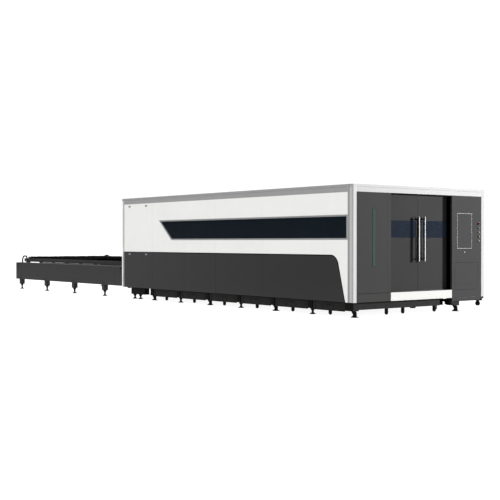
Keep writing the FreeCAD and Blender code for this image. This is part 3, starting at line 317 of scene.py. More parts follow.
def screen_glass(name):
    """A touch screen with a generic layout of fields: a drawing area, a column of keys and a status bar."""
    corner = low("touch_screen")
    size = high("touch_screen") - corner
    finish = Finish(name, specular=0.5, glow_strength=0.9)
    across = (finish.axes[1] - corner.y) * (1 / size.y)
    up = (finish.axes[2] - corner.z) * (1 / size.z)

    def field(left, right, bottom, top):
        sides = across.ramp(left, left + 0.006) * (1 - across.ramp(right - 0.006, right))
        ends = up.ramp(bottom, bottom + 0.008) * (1 - up.ramp(top - 0.008, top))
        return sides * ends

    glow = finish.mix(up, hue("0c1420"), hue("162133"))
    glow = finish.mix(field(0.03, 0.72, 0.14, 0.90), glow, hue("0f2b45"))
    grid = (across.wave(0.0475) ** 8).most(up.wave(0.0585) ** 8).ramp(0.7, 1.0)
    glow = finish.mix(field(0.03, 0.72, 0.14, 0.90) * grid * 0.6, glow, hue("3c6f96"))
    for row in range(5):
        foot = 0.16 + row * 0.15
        glow = finish.mix(field(0.76, 0.97, foot, foot + 0.12), glow, hue(("2f7d5b", "3a5f86")[row % 2]))
    glow = finish.mix(field(0.03, 0.97, 0.03, 0.10), glow, hue("39485c"))
    smudge = finish.noise(18.0, 4).ramp(0.5, 0.8)
    finish.paint(base_color=hue("0b0d10"), glow=glow, roughness=0.12 + smudge * 0.15)
    finish.bump(smudge, 0.00005)
    return finish.material


def ground(name):
    """Pale sealed floor of the studio."""
    finish = Finish(name, specular=0.02, glow_strength=0.93)
    cloud = finish.noise(0.35, 3)
    tone = finish.mix(cloud, hue("7e7e7e"), hue("868686"))
    finish.paint(base_color=tone, glow=hue("ffffff"), roughness=0.8 + cloud * 0.1)
    return finish.material


FINISHES = {
    "panel_white": powder_coat("panel_white", "dededc", 0.94, 0.45, 0.12, 0.05),
    # The dark panels carry painted light that lightens them towards the table's end.
    "panel_dark": powder_coat("panel_dark", "303031", 0.92, 0.6, 0.04, 0.06, rear_painted_light=0.4),
    "front_dark": powder_coat("front_dark", "212122", 0.92, 0.6, 0.03, 0.04),
    "front_grey": powder_coat("front_grey", "2a2a2b", 0.94, 0.6, 0.03, 0.04),
    "front_left_grey": powder_coat("front_left_grey", "272827", 0.94, 0.6, 0.03, 0.04),
    "rail_grey": powder_coat("rail_grey", "8b8b8b", 1.0, 0.45, 0.1, 0.0),
    "post_silver": powder_coat("post_silver", "989898", 1.0, 0.5, 0.06, 0.05),
    "roof_grey": powder_coat("roof_grey", "8b8c8d", 1.0, 0.5, 0.2, 0.0),
    "frame_black": powder_coat("frame_black", "0b0b0b", 1.0, 0.6, 0.03, 0.04),
    "table_black": powder_coat("table_black", "373737", 0.94, 0.6, 0.04, 0.06),
    "pallet_steel": mill_steel("pallet_steel", "202020", 0.1),
    # Near-black with no specular: partly heat-darkened steel, partly painted shade of the pallets' interior.
    "slat_steel": mill_steel("slat_steel", "0a0909", 0.06, 0.0),
    "tinted_glass": tinted_pane("tinted_glass", "0e151b", 0.06, 0.3),
    # The door panes' bluish base colour partly paints the sky reflection that their low gloss leaves out.
    "door_glass": tinted_pane("door_glass", "191f28", 0.04, 0.3),
    "trim_grey": bare_metal("trim_grey", "8e8f90", 0.4, (1, 60, 60), 0.6),
    "steel": bare_metal("steel", "8c8d8f", 0.3),
    "chrome": bare_metal("chrome", "fafafa", 0.22, (60, 60, 1), 0.75, 0.1),
    "foot_steel": moulded("foot_steel", "0a0a0b", 0.55, 0.06),
    "satin_steel": bare_metal("satin_steel", "5c5d5f", 0.5, (60, 60, 1), 0.1, 0.15),
    "handle_metal": bare_metal("handle_metal", "b4b4b4", 0.5, (60, 60, 1), 0.0, 0.1),
    "lock_grey": bare_metal("lock_grey", "2f2f30", 0.5, (1, 60, 60), 0.0, 0.1),
    "rim_grey": bare_metal("rim_grey", "4b4b4b", 0.5, (1, 60, 60), 0.0, 0.1),
    # A lighter copy of post_silver: painted light on the posts' sides.
    "post_side": powder_coat("post_side", "a8a8a8", 1.0, 0.5, 0.06, 0.05),
    "sill_white": powder_coat("sill_white", "aaaaa8", 1.0, 0.5, 0.06, 0.05),
    "rubber_black": moulded("rubber_black", "0b0b0c", 0.6, 0.08),
    "track_steel": mill_steel("track_steel", "2b2b2b", 0.2),
    "drawer_grey": powder_coat("drawer_grey", "202020", 1.0, 0.6, 0.03, 0.04),
    "seam_grey": powder_coat("seam_grey", "bcbcba", 1.0, 0.6, 0.05, 0.0),
    # Darker strips for the post and rail grooves: painted shade.
    "post_groove_painted_shade": powder_coat("post_groove_painted_shade", "6e6e6e", 1.0, 0.6, 0.05, 0.0),
    "rail_groove_painted_shade": powder_coat("rail_groove_painted_shade", "5a5a5a", 1.0, 0.6, 0.05, 0.0),
    "edge_steel": bare_metal("edge_steel", "8d8e8f", 0.5, (1, 60, 60), 0.2, 0.5),
    "dark_gap": moulded("dark_gap", "050505", 0.7, 0.02),
    "seal_black": moulded("seal_black", "010101", 0.9, 0.0),
    "light_green": light_tube("light_green"),
    "red_plastic": moulded("red_plastic", "4a040d", 0.6, 0.02),
    "green_plastic": moulded("green_plastic", "1d4a24", 0.5, 0.05),
    "pale_plastic": moulded("pale_plastic", "6c6b52", 0.5, 0.05),
    "screen_black": screen_glass("screen_black"),
    "head_grey": bare_metal("head_grey", "7a7d81", 0.35, (60, 60, 1), 0.8),
    "brass_tip": bare_metal("brass_tip", "b98d3c", 0.25, (60, 60, 1), 1.0),
    "cabinet_grey": powder_coat("cabinet_grey", "b9bab6", 1.0, 0.5, 0.2, 0.1),
}


OTHER_FINISHES = {"front_sill": "sill_white", "pallet_tracks": "track_steel", "panel_fittings": "lock_grey"}


def finish_cad_nodes():
    """Gives every CAD node the finish of its slot."""
    for name, node in NODES.items():
        for place, old in enumerate(node.data.materials):
            finish = OTHER_FINISHES.get(name, old.name.split(".")[0])
            node.data.materials[place] = FINISHES[finish]


# ---------------------------------------------------------------- studio


def place_camera():
    """Long lens at standing height, off the operator's near corner."""
    lens = bpy.data.cameras.new("camera")
    lens.lens = 71.34
    lens.sensor_width = 36.0
    lens.clip_end = 600.0
    camera = bpy.data.objects.new("camera", lens)
    camera.location = (FRONT + 12.966, NEAR - 12.393, 1.381)
    look = Vector((-0.7908, 0.6121, -math.tan(math.radians(0.49))))
    camera.rotation_euler = look.to_track_quat("-Z", "Y").to_euler()
    SCENE.collection.objects.link(camera)
    SCENE.camera = camera


def sun_lamp(name, heading, strength, spread):
    """Even light that travels along heading; spread softens its shadows."""
    lamp = bpy.data.lights.new(name, "SUN")
    lamp.energy = strength
    lamp.angle = math.radians(spread)
    holder = bpy.data.objects.new(name, lamp)
    holder.rotation_euler = Vector(heading).to_track_quat("-Z", "Y").to_euler()
    SCENE.collection.objects.link(holder)
    return holder


def light_studio():
    """White backdrop behind the machine, dim room round it, and soft lamps on the ends, sides and top."""
    world = bpy.data.worlds.new("studio")
    world.use_nodes = True
    nodes = world.node_tree.nodes
    links = world.node_tree.links
    path = nodes.new("ShaderNodeLightPath")
    level = nodes.new("ShaderNodeMapRange")
    level.inputs["To Min"].default_value = ROOM_LIGHT
    level.inputs["To Max"].default_value = BACKDROP_LIGHT
    links.new(path.outputs["Is Camera Ray"], level.inputs["Value"])
    links.new(level.outputs["Result"], nodes["Background"].inputs["Strength"])
    nodes["Background"].inputs["Color"].default_value = (1, 1, 1, 1)
    SCENE.world = world
    sun_lamp("front_lamp", (-1, 0, -0.12), 0.12, 24)
    key = sun_lamp("key_lamp", (-0.515, -0.857, -0.14), 8.4, 6)
    spare = bpy.data.collections.new("out_of_key_light")
    for name in ("far_upper_panel", "far_lower_panel", "roof_panel"):
        spare.objects.link(NODES[name])
    key.light_linking.receiver_collection = spare
    for linked in spare.collection_objects:
        linked.light_linking.link_state = "EXCLUDE"
    sun_lamp("near_lamp", (0, 1, -0.3), 1.4, 40)
    sun_lamp("far_lamp", (0.15, -1, -0.3), 0.35, 40)
    sun_lamp("rear_lamp", (1, 0, -0.3), 0.6, 40)
    sun_lamp("top_lamp", (0.05, 0.05, -1), 2.6, 60)
    SCENE.view_settings.view_transform = "Standard"
    SCENE.view_settings.look = "None"


def lay_floor():
    """Wide disc that the machine stands on."""
    mesh = bmesh.new()
    bmesh.ops.create_circle(mesh, cap_ends=True, segments=96, radius=260)
    data = bpy.data.meshes.new("studio_floor")
    mesh.to_mesh(data)
    mesh.free()
    floor = bpy.data.objects.new("studio_floor", data)
    data.materials.append(ground("studio_floor"))
    SCENE.collection.objects.link(floor)


# ---------------------------------------------------------------- shapes


class Piece:
    """One mesh of one finish. Its shapes are added, then keep() leaves it riding on a body."""

    def __init__(self, name, finish, body="machine", slot=None):
        self.name = name
        self.finish = finish
        self.body = body
        self.slot = slot or finish
        self.mesh = bmesh.new()

    def block(self, corner, opposite, edge=0.0015, rounds=1):
        """A block between two corners with its edges eased."""
        lowest = Vector(map(min, corner, opposite))
        highest = Vector(map(max, corner, opposite))
        shift = Matrix.LocRotScale((lowest + highest) / 2, None, highest - lowest)
        made = bmesh.ops.create_cube(self.mesh, size=1, matrix=shift)["verts"]
        self.ease(made, edge, rounds)
        return self

    def ease(self, verts, edge, rounds=1):
        """Bevels every edge between the corners given."""
        if edge:
            edges = list({line for vert in verts for line in vert.link_edges})
            bmesh.ops.bevel(
                self.mesh, geom=edges, offset=edge, segments=rounds, profile=0.5,
                affect="EDGES", clamp_overlap=True,
            )

    def border(self, corner, opposite, wide, edge=0.001, upright=True, axis=1):
        """A frame of four bars across an axis; the uprights run past the crosspieces, or between them."""
        foot, top = Vector(corner), Vector(opposite)
        for along, other, full in ((axis, 2, upright), (2, axis, not upright)):
            for start in (foot[along], top[along] - wide):
                ends = foot.copy(), top.copy()
                ends[0][along], ends[1][along] = start, start + wide
                if not full:
                    ends[0][other] += wide
                    ends[1][other] -= wide
                self.block(*ends, edge)

    def ring(self, centre, side, other, radius, sides):
        """A ring of corners round a centre, in the plane of two directions."""
        corners = []
        for step in range(sides):
            angle = math.tau * step / sides
            turn = side * math.cos(angle) + other * math.sin(angle)
            corners.append(self.mesh.verts.new(centre + turn * radius))
        return corners

    def turned(self, start, axis, profile, sides=24):
        """A turned shape: profile is (distance along the axis, radius) from end to end."""
        axis = Vector(axis).normalized()
        side = axis.orthogonal().normalized()
        other = axis.cross(side)
        rings = []
        for along, radius in profile:
            centre = Vector(start) + axis * along
            if radius <= 0:
                rings.append([self.mesh.verts.new(centre)])
                continue
            rings.append(self.ring(centre, side, other, radius, sides))
        for first, second in zip(rings, rings[1:]):
            self.skin(first, second)
        for ring, turned in ((rings[0], True), (rings[-1], False)):
            if len(ring) > 1:
                self.mesh.faces.new(list(reversed(ring)) if turned else ring)
        return self

    def skin(self, first, second):
        """Faces between two rings, either of which may be a point."""
        count = max(len(first), len(second))
        for step in range(count):
            after = (step + 1) % count
            if len(first) == 1:
                self.mesh.faces.new((first[0], second[step], second[after]))
            elif len(second) == 1:
                self.mesh.faces.new((first[step], first[after], second[0]))
            else:
                self.mesh.faces.new((first[step], first[after], second[after], second[step]))

    def rod(self, start, end, radius, edge=0.0015, sides=20):
        """A round bar with eased ends."""
        run = Vector(end) - Vector(start)
        length = run.length
        edge = min(edge, radius * 0.5, length * 0.4)
        profile = [(0, radius - edge), (edge, radius), (length - edge, radius), (length, radius - edge)]
        return self.turned(start, run, profile, sides)

    def hexagon(self, start, end, radius):
        """A hexagon bar, such as a nut or a bolt head, with chamfered corners."""
        run = Vector(end) - Vector(start)
        length = run.length
        edge = length * 0.18
        point = radius * 0.88
        profile = [(0, point), (edge, radius), (length - edge, radius), (length, point)]
        return self.turned(start, run, profile, 6)

    def bolt(self, spot, axis, radius=0.008, tall=0.005):
        """A hexagon head on a washer."""
        axis = Vector(axis).normalized()
        spot = Vector(spot)
        self.rod(spot, spot + axis * tall * 0.3, radius * 1.5, 0.0004, 16)
        self.hexagon(spot + axis * tall * 0.3, spot + axis * tall, radius)
        return self

    def sheet(self, outline, push, edge=0.0):
        """A flat shape pushed out by a vector; its edges can be eased."""
        base = [self.mesh.verts.new(point) for point in outline]
        face = self.mesh.faces.new(base)
        made = bmesh.ops.extrude_face_region(self.mesh, geom=[face])["geom"]
        moved = [part for part in made if isinstance(part, bmesh.types.BMVert)]
        bmesh.ops.translate(self.mesh, verts=moved, vec=push)
        self.ease(base + moved, edge)
        return self

    def hose(self, points, radius, sides=10, smooth=4):
        """A round tube along a smooth line through the points."""
        line = smooth_line([Vector(point) for point in points], smooth)
        rings = []
        side = (line[1] - line[0]).orthogonal().normalized()
        for index, spot in enumerate(line):
            ahead = line[min(index + 1, len(line) - 1)] - line[max(index - 1, 0)]
            ahead.normalize()
            side = (side - ahead * side.dot(ahead)).normalized()
            rings.append(self.ring(spot, side, ahead.cross(side), radius, sides))
        for first, second in zip(rings, rings[1:]):
            self.skin(first, second)
        self.mesh.faces.new(list(reversed(rings[0])))
        self.mesh.faces.new(rings[-1])
        return self

    def keep(self, *replaced):
        """Turns the shapes into one object that rides on its body."""
        bmesh.ops.recalc_face_normals(self.mesh, faces=self.mesh.faces)
        data = bpy.data.meshes.new(self.name)
        self.mesh.to_mesh(data)
        self.mesh.free()
        data.polygons.foreach_set("use_smooth", [True] * len(data.polygons))
        data.set_sharp_from_angle(angle=math.radians(32))
        data.materials.append(FINISHES[self.finish])
        made = bpy.data.objects.new(self.name, data)
        SCENE.collection.objects.link(made)
        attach(made, self.body)
        if replaced:
            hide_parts(*replaced)
        return made


def smooth_line(points, count):
    """Points on a Catmull-Rom line through the given ones."""
    padded = [points[0] * 2 - points[1]] + points + [points[-1] * 2 - points[-2]]
    line = []
    for index in range(1, len(padded) - 2):
        a, b, c, d = padded[index - 1:index + 3]
        for step in range(count):
            t = step / count
            square = (a * 2 - b * 5 + c * 4 - d) * t * t
            cube = (b * 3 - a - c * 3 + d) * t ** 3
            line.append(0.5 * (b * 2 + (c - a) * t + square + cube))
    return line + [points[-1]]


def spread(start, end, count):
    """Evenly spaced numbers from start to end."""
    return [start + (end - start) * step / max(count - 1, 1) for step in range(count)]


def steps(start, pitch, count):
    """Numbers from start, a pitch apart."""
    return [start + pitch * step for step in range(count)]


def middle(node):
    """Centre of a CAD node's box."""
    return (low(node) + high(node)) / 2


# ---------------------------------------------------------------- operator's end


def door_handles():
    """Bright bars on turned standoffs, each with a black spine and a black strip down its door leaf. The
    black standoffs and the spine over each bar's back and near side are painted shade; the strip is a backing
    strip that also paints the bar's shade on the door.
    """
    radius = 0.015
    plate = 0.006
    dome = [(0, 0), (0.001, 0.006), (0.004, 0.0115), (0.009, radius)]
    for side in ("left", "right"):
        node = side + "_handle"
        body = side + "_leaf"
        foot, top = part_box(node)
        x = top.x - radius
        y = (foot.y + top.y) / 2
        wall = foot.x + plate
        reach = x - wall
        tall = top.z - foot.z
        bar = Piece(node + "_bar", "handle_metal", body, "chrome")
        bar.turned((x, y, foot.z), UP, dome + [(tall - along, wide) for along, wide in reversed(dome)], 28)
        # Black standoffs: their black is painted shade.
        arms_and_painted_shade = Piece(node + "_arms", "rubber_black", body, "frame_black")
        arm = [(0, 0.019), (0.004, 0.019), (0.007, 0.012), (0.02, 0.0095)]
        arm += [(reach - 0.012, 0.0095), (reach - 0.004, 0.012), (reach, 0.012)]
        for up in (foot.z + 0.05, top.z - 0.05):
            arms_and_painted_shade.turned((wall, y, up), FORWARD, arm, 24)
        ends = (foot.z + plate, top.z - plate)
        # Black spine behind the bar and black cover on its near side: painted shade on the bar's edges.
        arms_and_painted_shade.block((x - 0.024, y - 0.012, ends[0]), (x - 0.006, y + 0.010, ends[1]), 0.003, 2)
        arms_and_painted_shade.block((x - 0.012, y - 0.0153, ends[0]), (x + 0.0112, y - 0.0098, ends[1]), 0.002, 2)
        bar.keep(node)
        arms_and_painted_shade.keep()
        # Black strip on the leaf behind the bar: a backing strip that also paints the bar's shade on the
        # door.
        strip = Piece(node + "_strip", "rubber_black", body, "frame_black")
        strip.block((foot.x, y - 0.008, foot.z), (wall, y + 0.008, top.z), 0.002, 2)
        strip.keep()


def door_trim():
    """Frames round the panes, rubber seals where the leaves meet, and stiffeners on their backs."""
    wide = 0.009
    raised = 0.003
    for side, way in (("left", -1), ("right", 1)):
        body = side + "_leaf"
        foot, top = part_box(side + "_door")
        pane_low, pane_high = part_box(side + "_door_glass")
        bead = Piece(side + "_pane_bead", "rubber_black", body, "frame_black")
        bead.border(
            (top.x - 0.004, pane_low.y - wide, pane_low.z - wide),
            (top.x + 0.0025, pane_high.y + wide, pane_high.z + wide), wide, upright=False,
        )
        bead.keep()
        meet = top.y if side == "left" else foot.y
        seal = Piece(side + "_door_seal", "rubber_black", body, "frame_black")
        seal.block((top.x, meet, foot.z + 0.01), (top.x + raised, meet + way * 0.012, top.z - 0.01), 0.001)
        for up in (foot.z + 0.004, top.z - 0.018):
            seal.block((top.x, foot.y + 0.02, up), (top.x + raised, top.y - 0.02, up + 0.012), 0.001)
        seal.keep()
        skin = Piece(side + "_door_back", "front_dark", body)
        for y in spread(foot.y + 0.05, top.y - 0.09, 3):
            for start, end in ((foot.z, pane_low.z), (pane_high.z, top.z)):
                skin.block((foot.x - raised, y, start + 0.05), (foot.x, y + 0.04, end - 0.05), 0.001)
        skin.keep()


def front_left_panel():
    """Folded sheet panel in two lengths with a shadow gap, hemmed along the doorway."""
    foot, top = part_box("front_left_panel")
    split = high("front_sill").z
    gap = 0.002
    hem = top.y - 0.095
    panel = Piece("front_left_cover", "front_left_grey", "machine", "front_dark")
    for start, end in ((foot.z, split - gap), (split + gap, top.z)):
        panel.block((foot.x, foot.y, start), (top.x - 0.0015, top.y, end), 0.0015)
        for left, right in ((foot.y + 0.004, hem), (hem + 0.001, top.y)):
            panel.block((top.x - 0.003, left, start + gap), (top.x, right, end - gap), 0.0003)
    panel.keep("front_left_panel")


def front_right_skirt():
    """Folded lower edge of the control side's panel, with a darker lip that paints the shadow gap at its
    foot, and the shoe of the far post.
    """
    foot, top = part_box("front_right_panel")
    face = FRONT - 0.002
    left, right = foot.y + 0.002, top.y - 0.002
    base = foot.z - 0.073
    lip = base + 0.018
    under = foot.z - 0.001
    skirt = Piece("front_right_skirt", "front_grey", "machine", "front_dark")
    skirt.block((face - 0.006, left, lip), (face, right, under), 0.001)
    skirt.keep()
    # Darker lip at the foot: painted shadow of the gap under the fold.
    hem = Piece("front_right_hem", "front_dark", "machine", "front_grey")
    hem.block((face - 0.008, left, base), (face - 0.001, right, lip), 0.001)
    hem.keep()
    shoe = Piece("far_post_shoe", "front_grey", "machine", "front_dark")
    shoe.block((FRONT - 0.060, top.y + 0.004, foot.z - 0.045), (FRONT - 0.004, FAR - 0.004, under), 0.002)
    shoe.keep()


def light_bezel():
    """Folded channel of the left panel round the light strip."""
    foot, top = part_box("light_strip")
    wall = 0.0045
    channel = Piece("light_channel", "front_left_grey", "machine", "frame_black")
    channel.border(
        (foot.x, foot.y - wall, foot.z - wall), (foot.x + 0.004, top.y + wall, top.z + wall), wall,
    )
    channel.keep()


def screen_surround():
    """Thin bright frame on the screen's cover, and behind it the screen's bezel, keyboard and knobs."""
    foot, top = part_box("screen_cover_rim")
    rim = Piece("screen_cover_frame", "rim_grey", "screen_lid", "chrome")
    rim.border(foot, top, 0.009, 0.0008)
    rim.keep("screen_cover_rim")
    foot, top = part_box("touch_screen")
    bezel = Piece("screen_bezel", "rubber_black", "machine", "frame_black")
    wall = 0.014
    for y in (foot.y - 0.001, top.y - wall):
        bezel.block((top.x - 0.002, y, foot.z), (top.x + 0.004, y + wall, top.z), 0.001)
    for up in (foot.z - 0.001, top.z - wall):
        bezel.block((top.x - 0.002, foot.y, up), (top.x + 0.004, top.y, up + wall), 0.001)
    bezel.keep()
    left = foot.y + 0.02
    base = foot.z - 0.20
    tray = 0.012
    keys = Piece("keyboard", "rubber_black", "machine", "frame_black")
    keys.block((foot.x, left - tray, base - 0.015), (foot.x + tray, left + 0.372, base + 0.15), 0.003, 2)
    for up in steps(base, 0.0235, 6):
        for y in steps(left, 0.0245, 15):
            keys.block((foot.x + tray, y, up), (foot.x + tray + 0.004, y + 0.021, up + 0.020), 0.0015)
    keys.keep()
    knobs = Piece("screen_side_knobs", "satin_steel", "machine", "chrome")
    knob = [(0, 0.014), (0.006, 0.014), (0.007, 0.010), (0.018, 0.009), (0.02, 0.007)]
    for y in spread(foot.y + 0.06, top.y - 0.06, 4):
        knobs.turned((foot.x, y, foot.z - 0.27), FORWARD, knob, 24)
    knobs.keep()


def cabinet_fittings():
    """Quarter-turn locks and vent slots of the cabinet door."""
    foot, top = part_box("cabinet_door")
    face = top.x
    locks = Piece("cabinet_locks", "rubber_black", "cabinet_lid", "frame_black")
    y = foot.y + 0.04
    for up in (foot.z + 0.11, top.z - 0.11):
        locks.turned((face, y, up), FORWARD, [(0, 0.013), (0.002, 0.013), (0.003, 0.011), (0.003, 0)], 24)
        locks.block((face + 0.002, y - 0.003, up - 0.007), (face + 0.0045, y + 0.003, up + 0.007), 0.001)
    locks.keep()
    slots = Piece("cabinet_vents", "rubber_black", "cabinet_lid", "frame_black")
    for up in steps(foot.z + 0.06, 0.016, 5):
        slots.block((face - 0.002, foot.y + 0.27, up), (face + 0.0008, top.y - 0.27, up + 0.005), 0.0005)
    slots.keep()


def button_details():
    """Dark rings round the buttons and a raised ring on the mushroom cap."""
    panel = high("front_right_panel").x
    ring = Piece("button_gaskets", "rubber_black", "machine", "frame_black")
    for name in ("emergency_stop", "start_button", "pause_button", "light_button", "reset_button"):
        centre = middle(name)
        wide = 0.030 if name == "emergency_stop" else 0.022
        profile = [(0, wide), (0.0015, wide), (0.002, wide - 0.001), (0.002, wide - 0.004), (0, wide - 0.004)]
        ring.turned((panel, centre.y, centre.z), FORWARD, profile, 32)
    ring.keep()
    cap = Piece("mushroom_ribs", "red_plastic", "emergency_stop_push")
    centre = middle("emergency_stop")
    spot = (high("emergency_stop").x - 0.0012, centre.y, centre.z)
    cap.turned(spot, FORWARD, [(0, 0.0135), (0.001, 0.013), (0.001, 0.011), (0, 0.011)], 28)
    cap.keep()


def leaf_edge_seal():
    """Wide black rubber wiper on the closing edge of the right leaf, in ribbed lengths; its width and deep
    black paint the shadow that the control side's panel casts on the leaf.
    """
    foot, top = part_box("right_door")
    start = top.y - 0.110
    seal = Piece("leaf_edge_seal", "seal_black", "right_leaf", "frame_black")
    # Painted shadow: the wiper covers where the panel's shadow falls on the leaf.
    seal.block((top.x, start, foot.z + 0.01), (top.x + 0.0015, top.y - 0.002, top.z - 0.01), 0.0005)
    for y in spread(start + 0.01, top.y - 0.016, 9):
        seal.block((top.x + 0.001, y, foot.z + 0.012), (top.x + 0.003, y + 0.005, top.z - 0.012), 0.0008)
    seal.keep()


def door_guides_and_gap_shadow():
    """Black guide channel along the foot of the doorway, in front of the leaves, with its screws; its black
    also paints the shadow of the gap under the leaves.
    """
    foot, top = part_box("front_sill")
    back = high("left_door").x + 0.002
    face = back + 0.010
    # Black guide: also painted shadow of the gap under the leaves.
    guide = Piece("door_foot_guide_and_shadow", "rubber_black", "machine", "frame_black")
    guide.block((back, foot.y + 0.004, top.z - 0.002), (face, top.y - 0.004, top.z + 0.018), 0.002, 2)
    for y in spread(foot.y + 0.1, top.y - 0.1, 8):
        guide.bolt((face, y, top.z + 0.009), FORWARD, 0.004, 0.003)
    guide.keep()


def sill_tread():
    """Tread plate on the door sill, and the screws along its foot."""
    foot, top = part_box("front_sill")
    tread = Piece("sill_tread", "satin_steel", "machine", "steel")
    tread.block((foot.x + 0.012, foot.y + 0.02, top.z), (top.x - 0.012, top.y - 0.02, top.z + 0.0008), 0.0004)
    tread.keep()
    studs = Piece("sill_screws", "satin_steel", "machine", "steel")
    stud = [(0, 0.005), (0.0015, 0.0045), (0.002, 0.002), (0.002, 0)]
    for y in spread(foot.y + 0.06, top.y - 0.06, 7):
        studs.turned((top.x, y, foot.z + 0.022), FORWARD, stud, 16)
    studs.keep()


def operators_end():
    """Everything at the end where the operator stands."""
    door_handles()
    door_trim()
    front_left_panel()
    front_right_skirt()
    light_bezel()
    screen_surround()
    cabinet_fittings()
    button_details()
    sill_tread()
    door_guides_and_gap_shadow()
    leaf_edge_seal()


# ---------------------------------------------------------------- long sides


def window_joints():
    """Upright joints between the panes, and clips along the trim."""
    foot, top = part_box("window_glass")
    joint = Piece("window_joints", "rubber_black", "machine", "frame_black")
    for back in PANE_JOINTS:
        x = FRONT - back
        joint.block((x - 0.004, foot.y - 0.0015, foot.z), (x + 0.004, foot.y, top.z), 0.0005)
    joint.keep()
    foot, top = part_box("window_trim")
    clips = Piece("window_clips", "satin_steel", "machine", "trim_grey")
    clip = [(0, 0.004), (0.0008, 0.0036), (0.001, 0.002), (0.001, 0)]
    for x in spread(foot.x + 0.75, top.x - 0.2, 9):
        for up in (foot.z + 0.008, top.z - 0.008):
            clips.turned((x, foot.y, up), -ACROSS, clip, 12)
    clips.keep()


def side_seams():
    """Shadow gaps between the sheets of the windowed side, dark below and pale above."""
    foot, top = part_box("near_lower_panel")
    trim_low, trim_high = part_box("window_trim")
    roof = high("near_upper_panel").z
    seam = Piece("near_seams", "dark_gap", "machine", "panel_dark")
    pale = Piece("near_white_seams", "seam_grey", "machine", "panel_white")
    for back in SHEET_JOINTS:
        x = FRONT - back
        start, end = foot.z + 0.004, top.z - 0.004
        seam.block((x - 0.0012, foot.y - 0.0004, start), (x + 0.0012, foot.y + 0.001, end), 0)
        for start, end in ((trim_high.z + 0.02, roof - 0.004), (top.z + 0.02, trim_low.z - 0.02)):
            pale.block((x - 0.001, NEAR - 0.0003, start), (x + 0.001, NEAR + 0.001, end), 0)
    seam.keep()
    pale.keep()


def paddle_latches():
    """Lift-and-turn latches on the panels that come off, both sides of the cabin."""
    plate = Piece("latch_plates", "rubber_black", "machine", "trim_grey")
    pale = Piece("latch_plates_low", "edge_steel", "machine", "trim_grey")
    paddle = Piece("latch_paddles", "satin_steel", "machine", "trim_grey")
    inset, drop = 0.013, 0.058
    reach, tall = 0.030, 0.016
    pivot = [(0, 0.0075), (0.0022, 0.0075), (0.0026, 0.006), (0.0026, 0)]
    columns = (low("panel_latches").x + inset, high("panel_latches").x - inset)
    rows = ((high("access_panel_lower").z - drop, pale), (high("access_panel_upper").z - drop, plate))
    for face, way in SIDES:
        for x in columns:
            for up, backing in rows:
                outline = []
                for step in range(28):
                    angle = math.tau * step / 28
                    shift = reach if math.cos(angle) >= 0 else -reach
                    along, rise = x + shift + tall * math.cos(angle), up + tall * math.sin(angle)
                    outline.append(Vector((along, face, rise)))
                backing.sheet(outline, Vector((0, way * 0.0018, 0)))
                proud = face + way * 0.0028
                paddle.block((x - 0.032, face, up - 0.009), (x + 0.018, proud, up + 0.009), 0.001)
                paddle.turned((x + reach, face, up), (0, way, 0), pivot, 20)
    plate.keep("panel_latches")
    pale.keep()
    paddle.keep()


def far_seams(edges):
    """Joints between the sheets of the side away from the window."""
    for name, finish, node, slot in (
        ("far_seams", "dark_gap", "far_lower_panel", "panel_dark"),
        ("far_white_seams", "seam_grey", "far_upper_panel", "panel_white"),
    ):
        foot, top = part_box(node)
        gap = Piece(name, finish, "machine", slot)
        for x in edges[1:-1]:
            gap.block((x - 0.0015, FAR - 0.001, foot.z + 0.003), (x + 0.0015, FAR + 0.0004, top.z - 0.003), 0)
        gap.keep()


def far_louvres(edges):
    """Pressed louvres low on every second sheet."""
    foot = low("far_lower_panel")
    long = 0.52
    louvre = Piece("far_louvres", "panel_dark", "machine")
    hollow = Piece("far_louvre_shadows", "dark_gap", "machine", "panel_dark")
    for bay in (0, 2, 4, 6):
        start = (edges[bay] + edges[bay + 1] - long) / 2
        end = start + long
        for up in steps(foot.z + 0.16, 0.034, 9):
            hollow.block((start, FAR - 0.002, up), (end, FAR + 0.0006, up + 0.012), 0.0003)
            lip = up + 0.011
            louvre.block((start - 0.006, FAR - 0.001, lip), (end + 0.006, FAR + 0.0028, lip + 0.009), 0.0012)
    louvre.keep()
    hollow.keep()


def far_side():
    """Sheet joints, louvres, swing handles and service windows on the side away from the window."""
    foot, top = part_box("far_lower_panel")
    upper_foot, upper_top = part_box("far_upper_panel")
    edges = spread(foot.x, top.x, 8)
    far_seams(edges)
    far_louvres(edges)
    lock = Piece("far_swing_handles", "rubber_black", "machine", "trim_grey")
    window = Piece("far_service_windows", "tinted_glass", "machine")
    bead = Piece("far_window_beads", "rubber_black", "machine", "trim_grey")
    wide = 0.018
    pivot = [(0, 0.010), (0.002, 0.010), (0.0026, 0.007), (0.0026, 0)]
    base, height = upper_foot.z + 0.30, upper_foot.z + 0.72
    for bay in (1, 3, 5):
        x = edges[bay + 1] - 0.06
        for up in ((foot.z + top.z) / 2, (upper_foot.z + upper_top.z) / 2):
            lock.block((x - 0.016, FAR, up - 0.075), (x + 0.016, FAR + 0.0014, up + 0.075), 0.0006)
            lock.block((x - 0.010, FAR, up - 0.062), (x + 0.010, FAR + 0.0029, up + 0.045), 0.0013)
            lock.turned((x, FAR, up + 0.058), ACROSS, pivot, 20)
        left, right = edges[bay] + 0.22, edges[bay + 1] - 0.22
        window.block((left, FAR - 0.002, base), (right, FAR + 0.0008, height), 0.0004)
        bead.border(
            (left - wide, FAR - 0.001, base - wide), (right + wide, FAR + 0.0026, height + wide),
            wide, 0.0008, upright=False, axis=0,
        )
    lock.keep()
    window.keep()
    bead.keep()


def post_strips(name, finish, slot, start, end, proud, foot_z, top_z, edge=0.0):
    """A thin strip of another tone up both long sides, between two distances along the machine."""
    strip = Piece(name, finish, "machine", slot)
    for face, way in SIDES:
        strip.block((start, face + way * proud, foot_z), (end, face - way * 0.001, top_z), edge)
    return strip


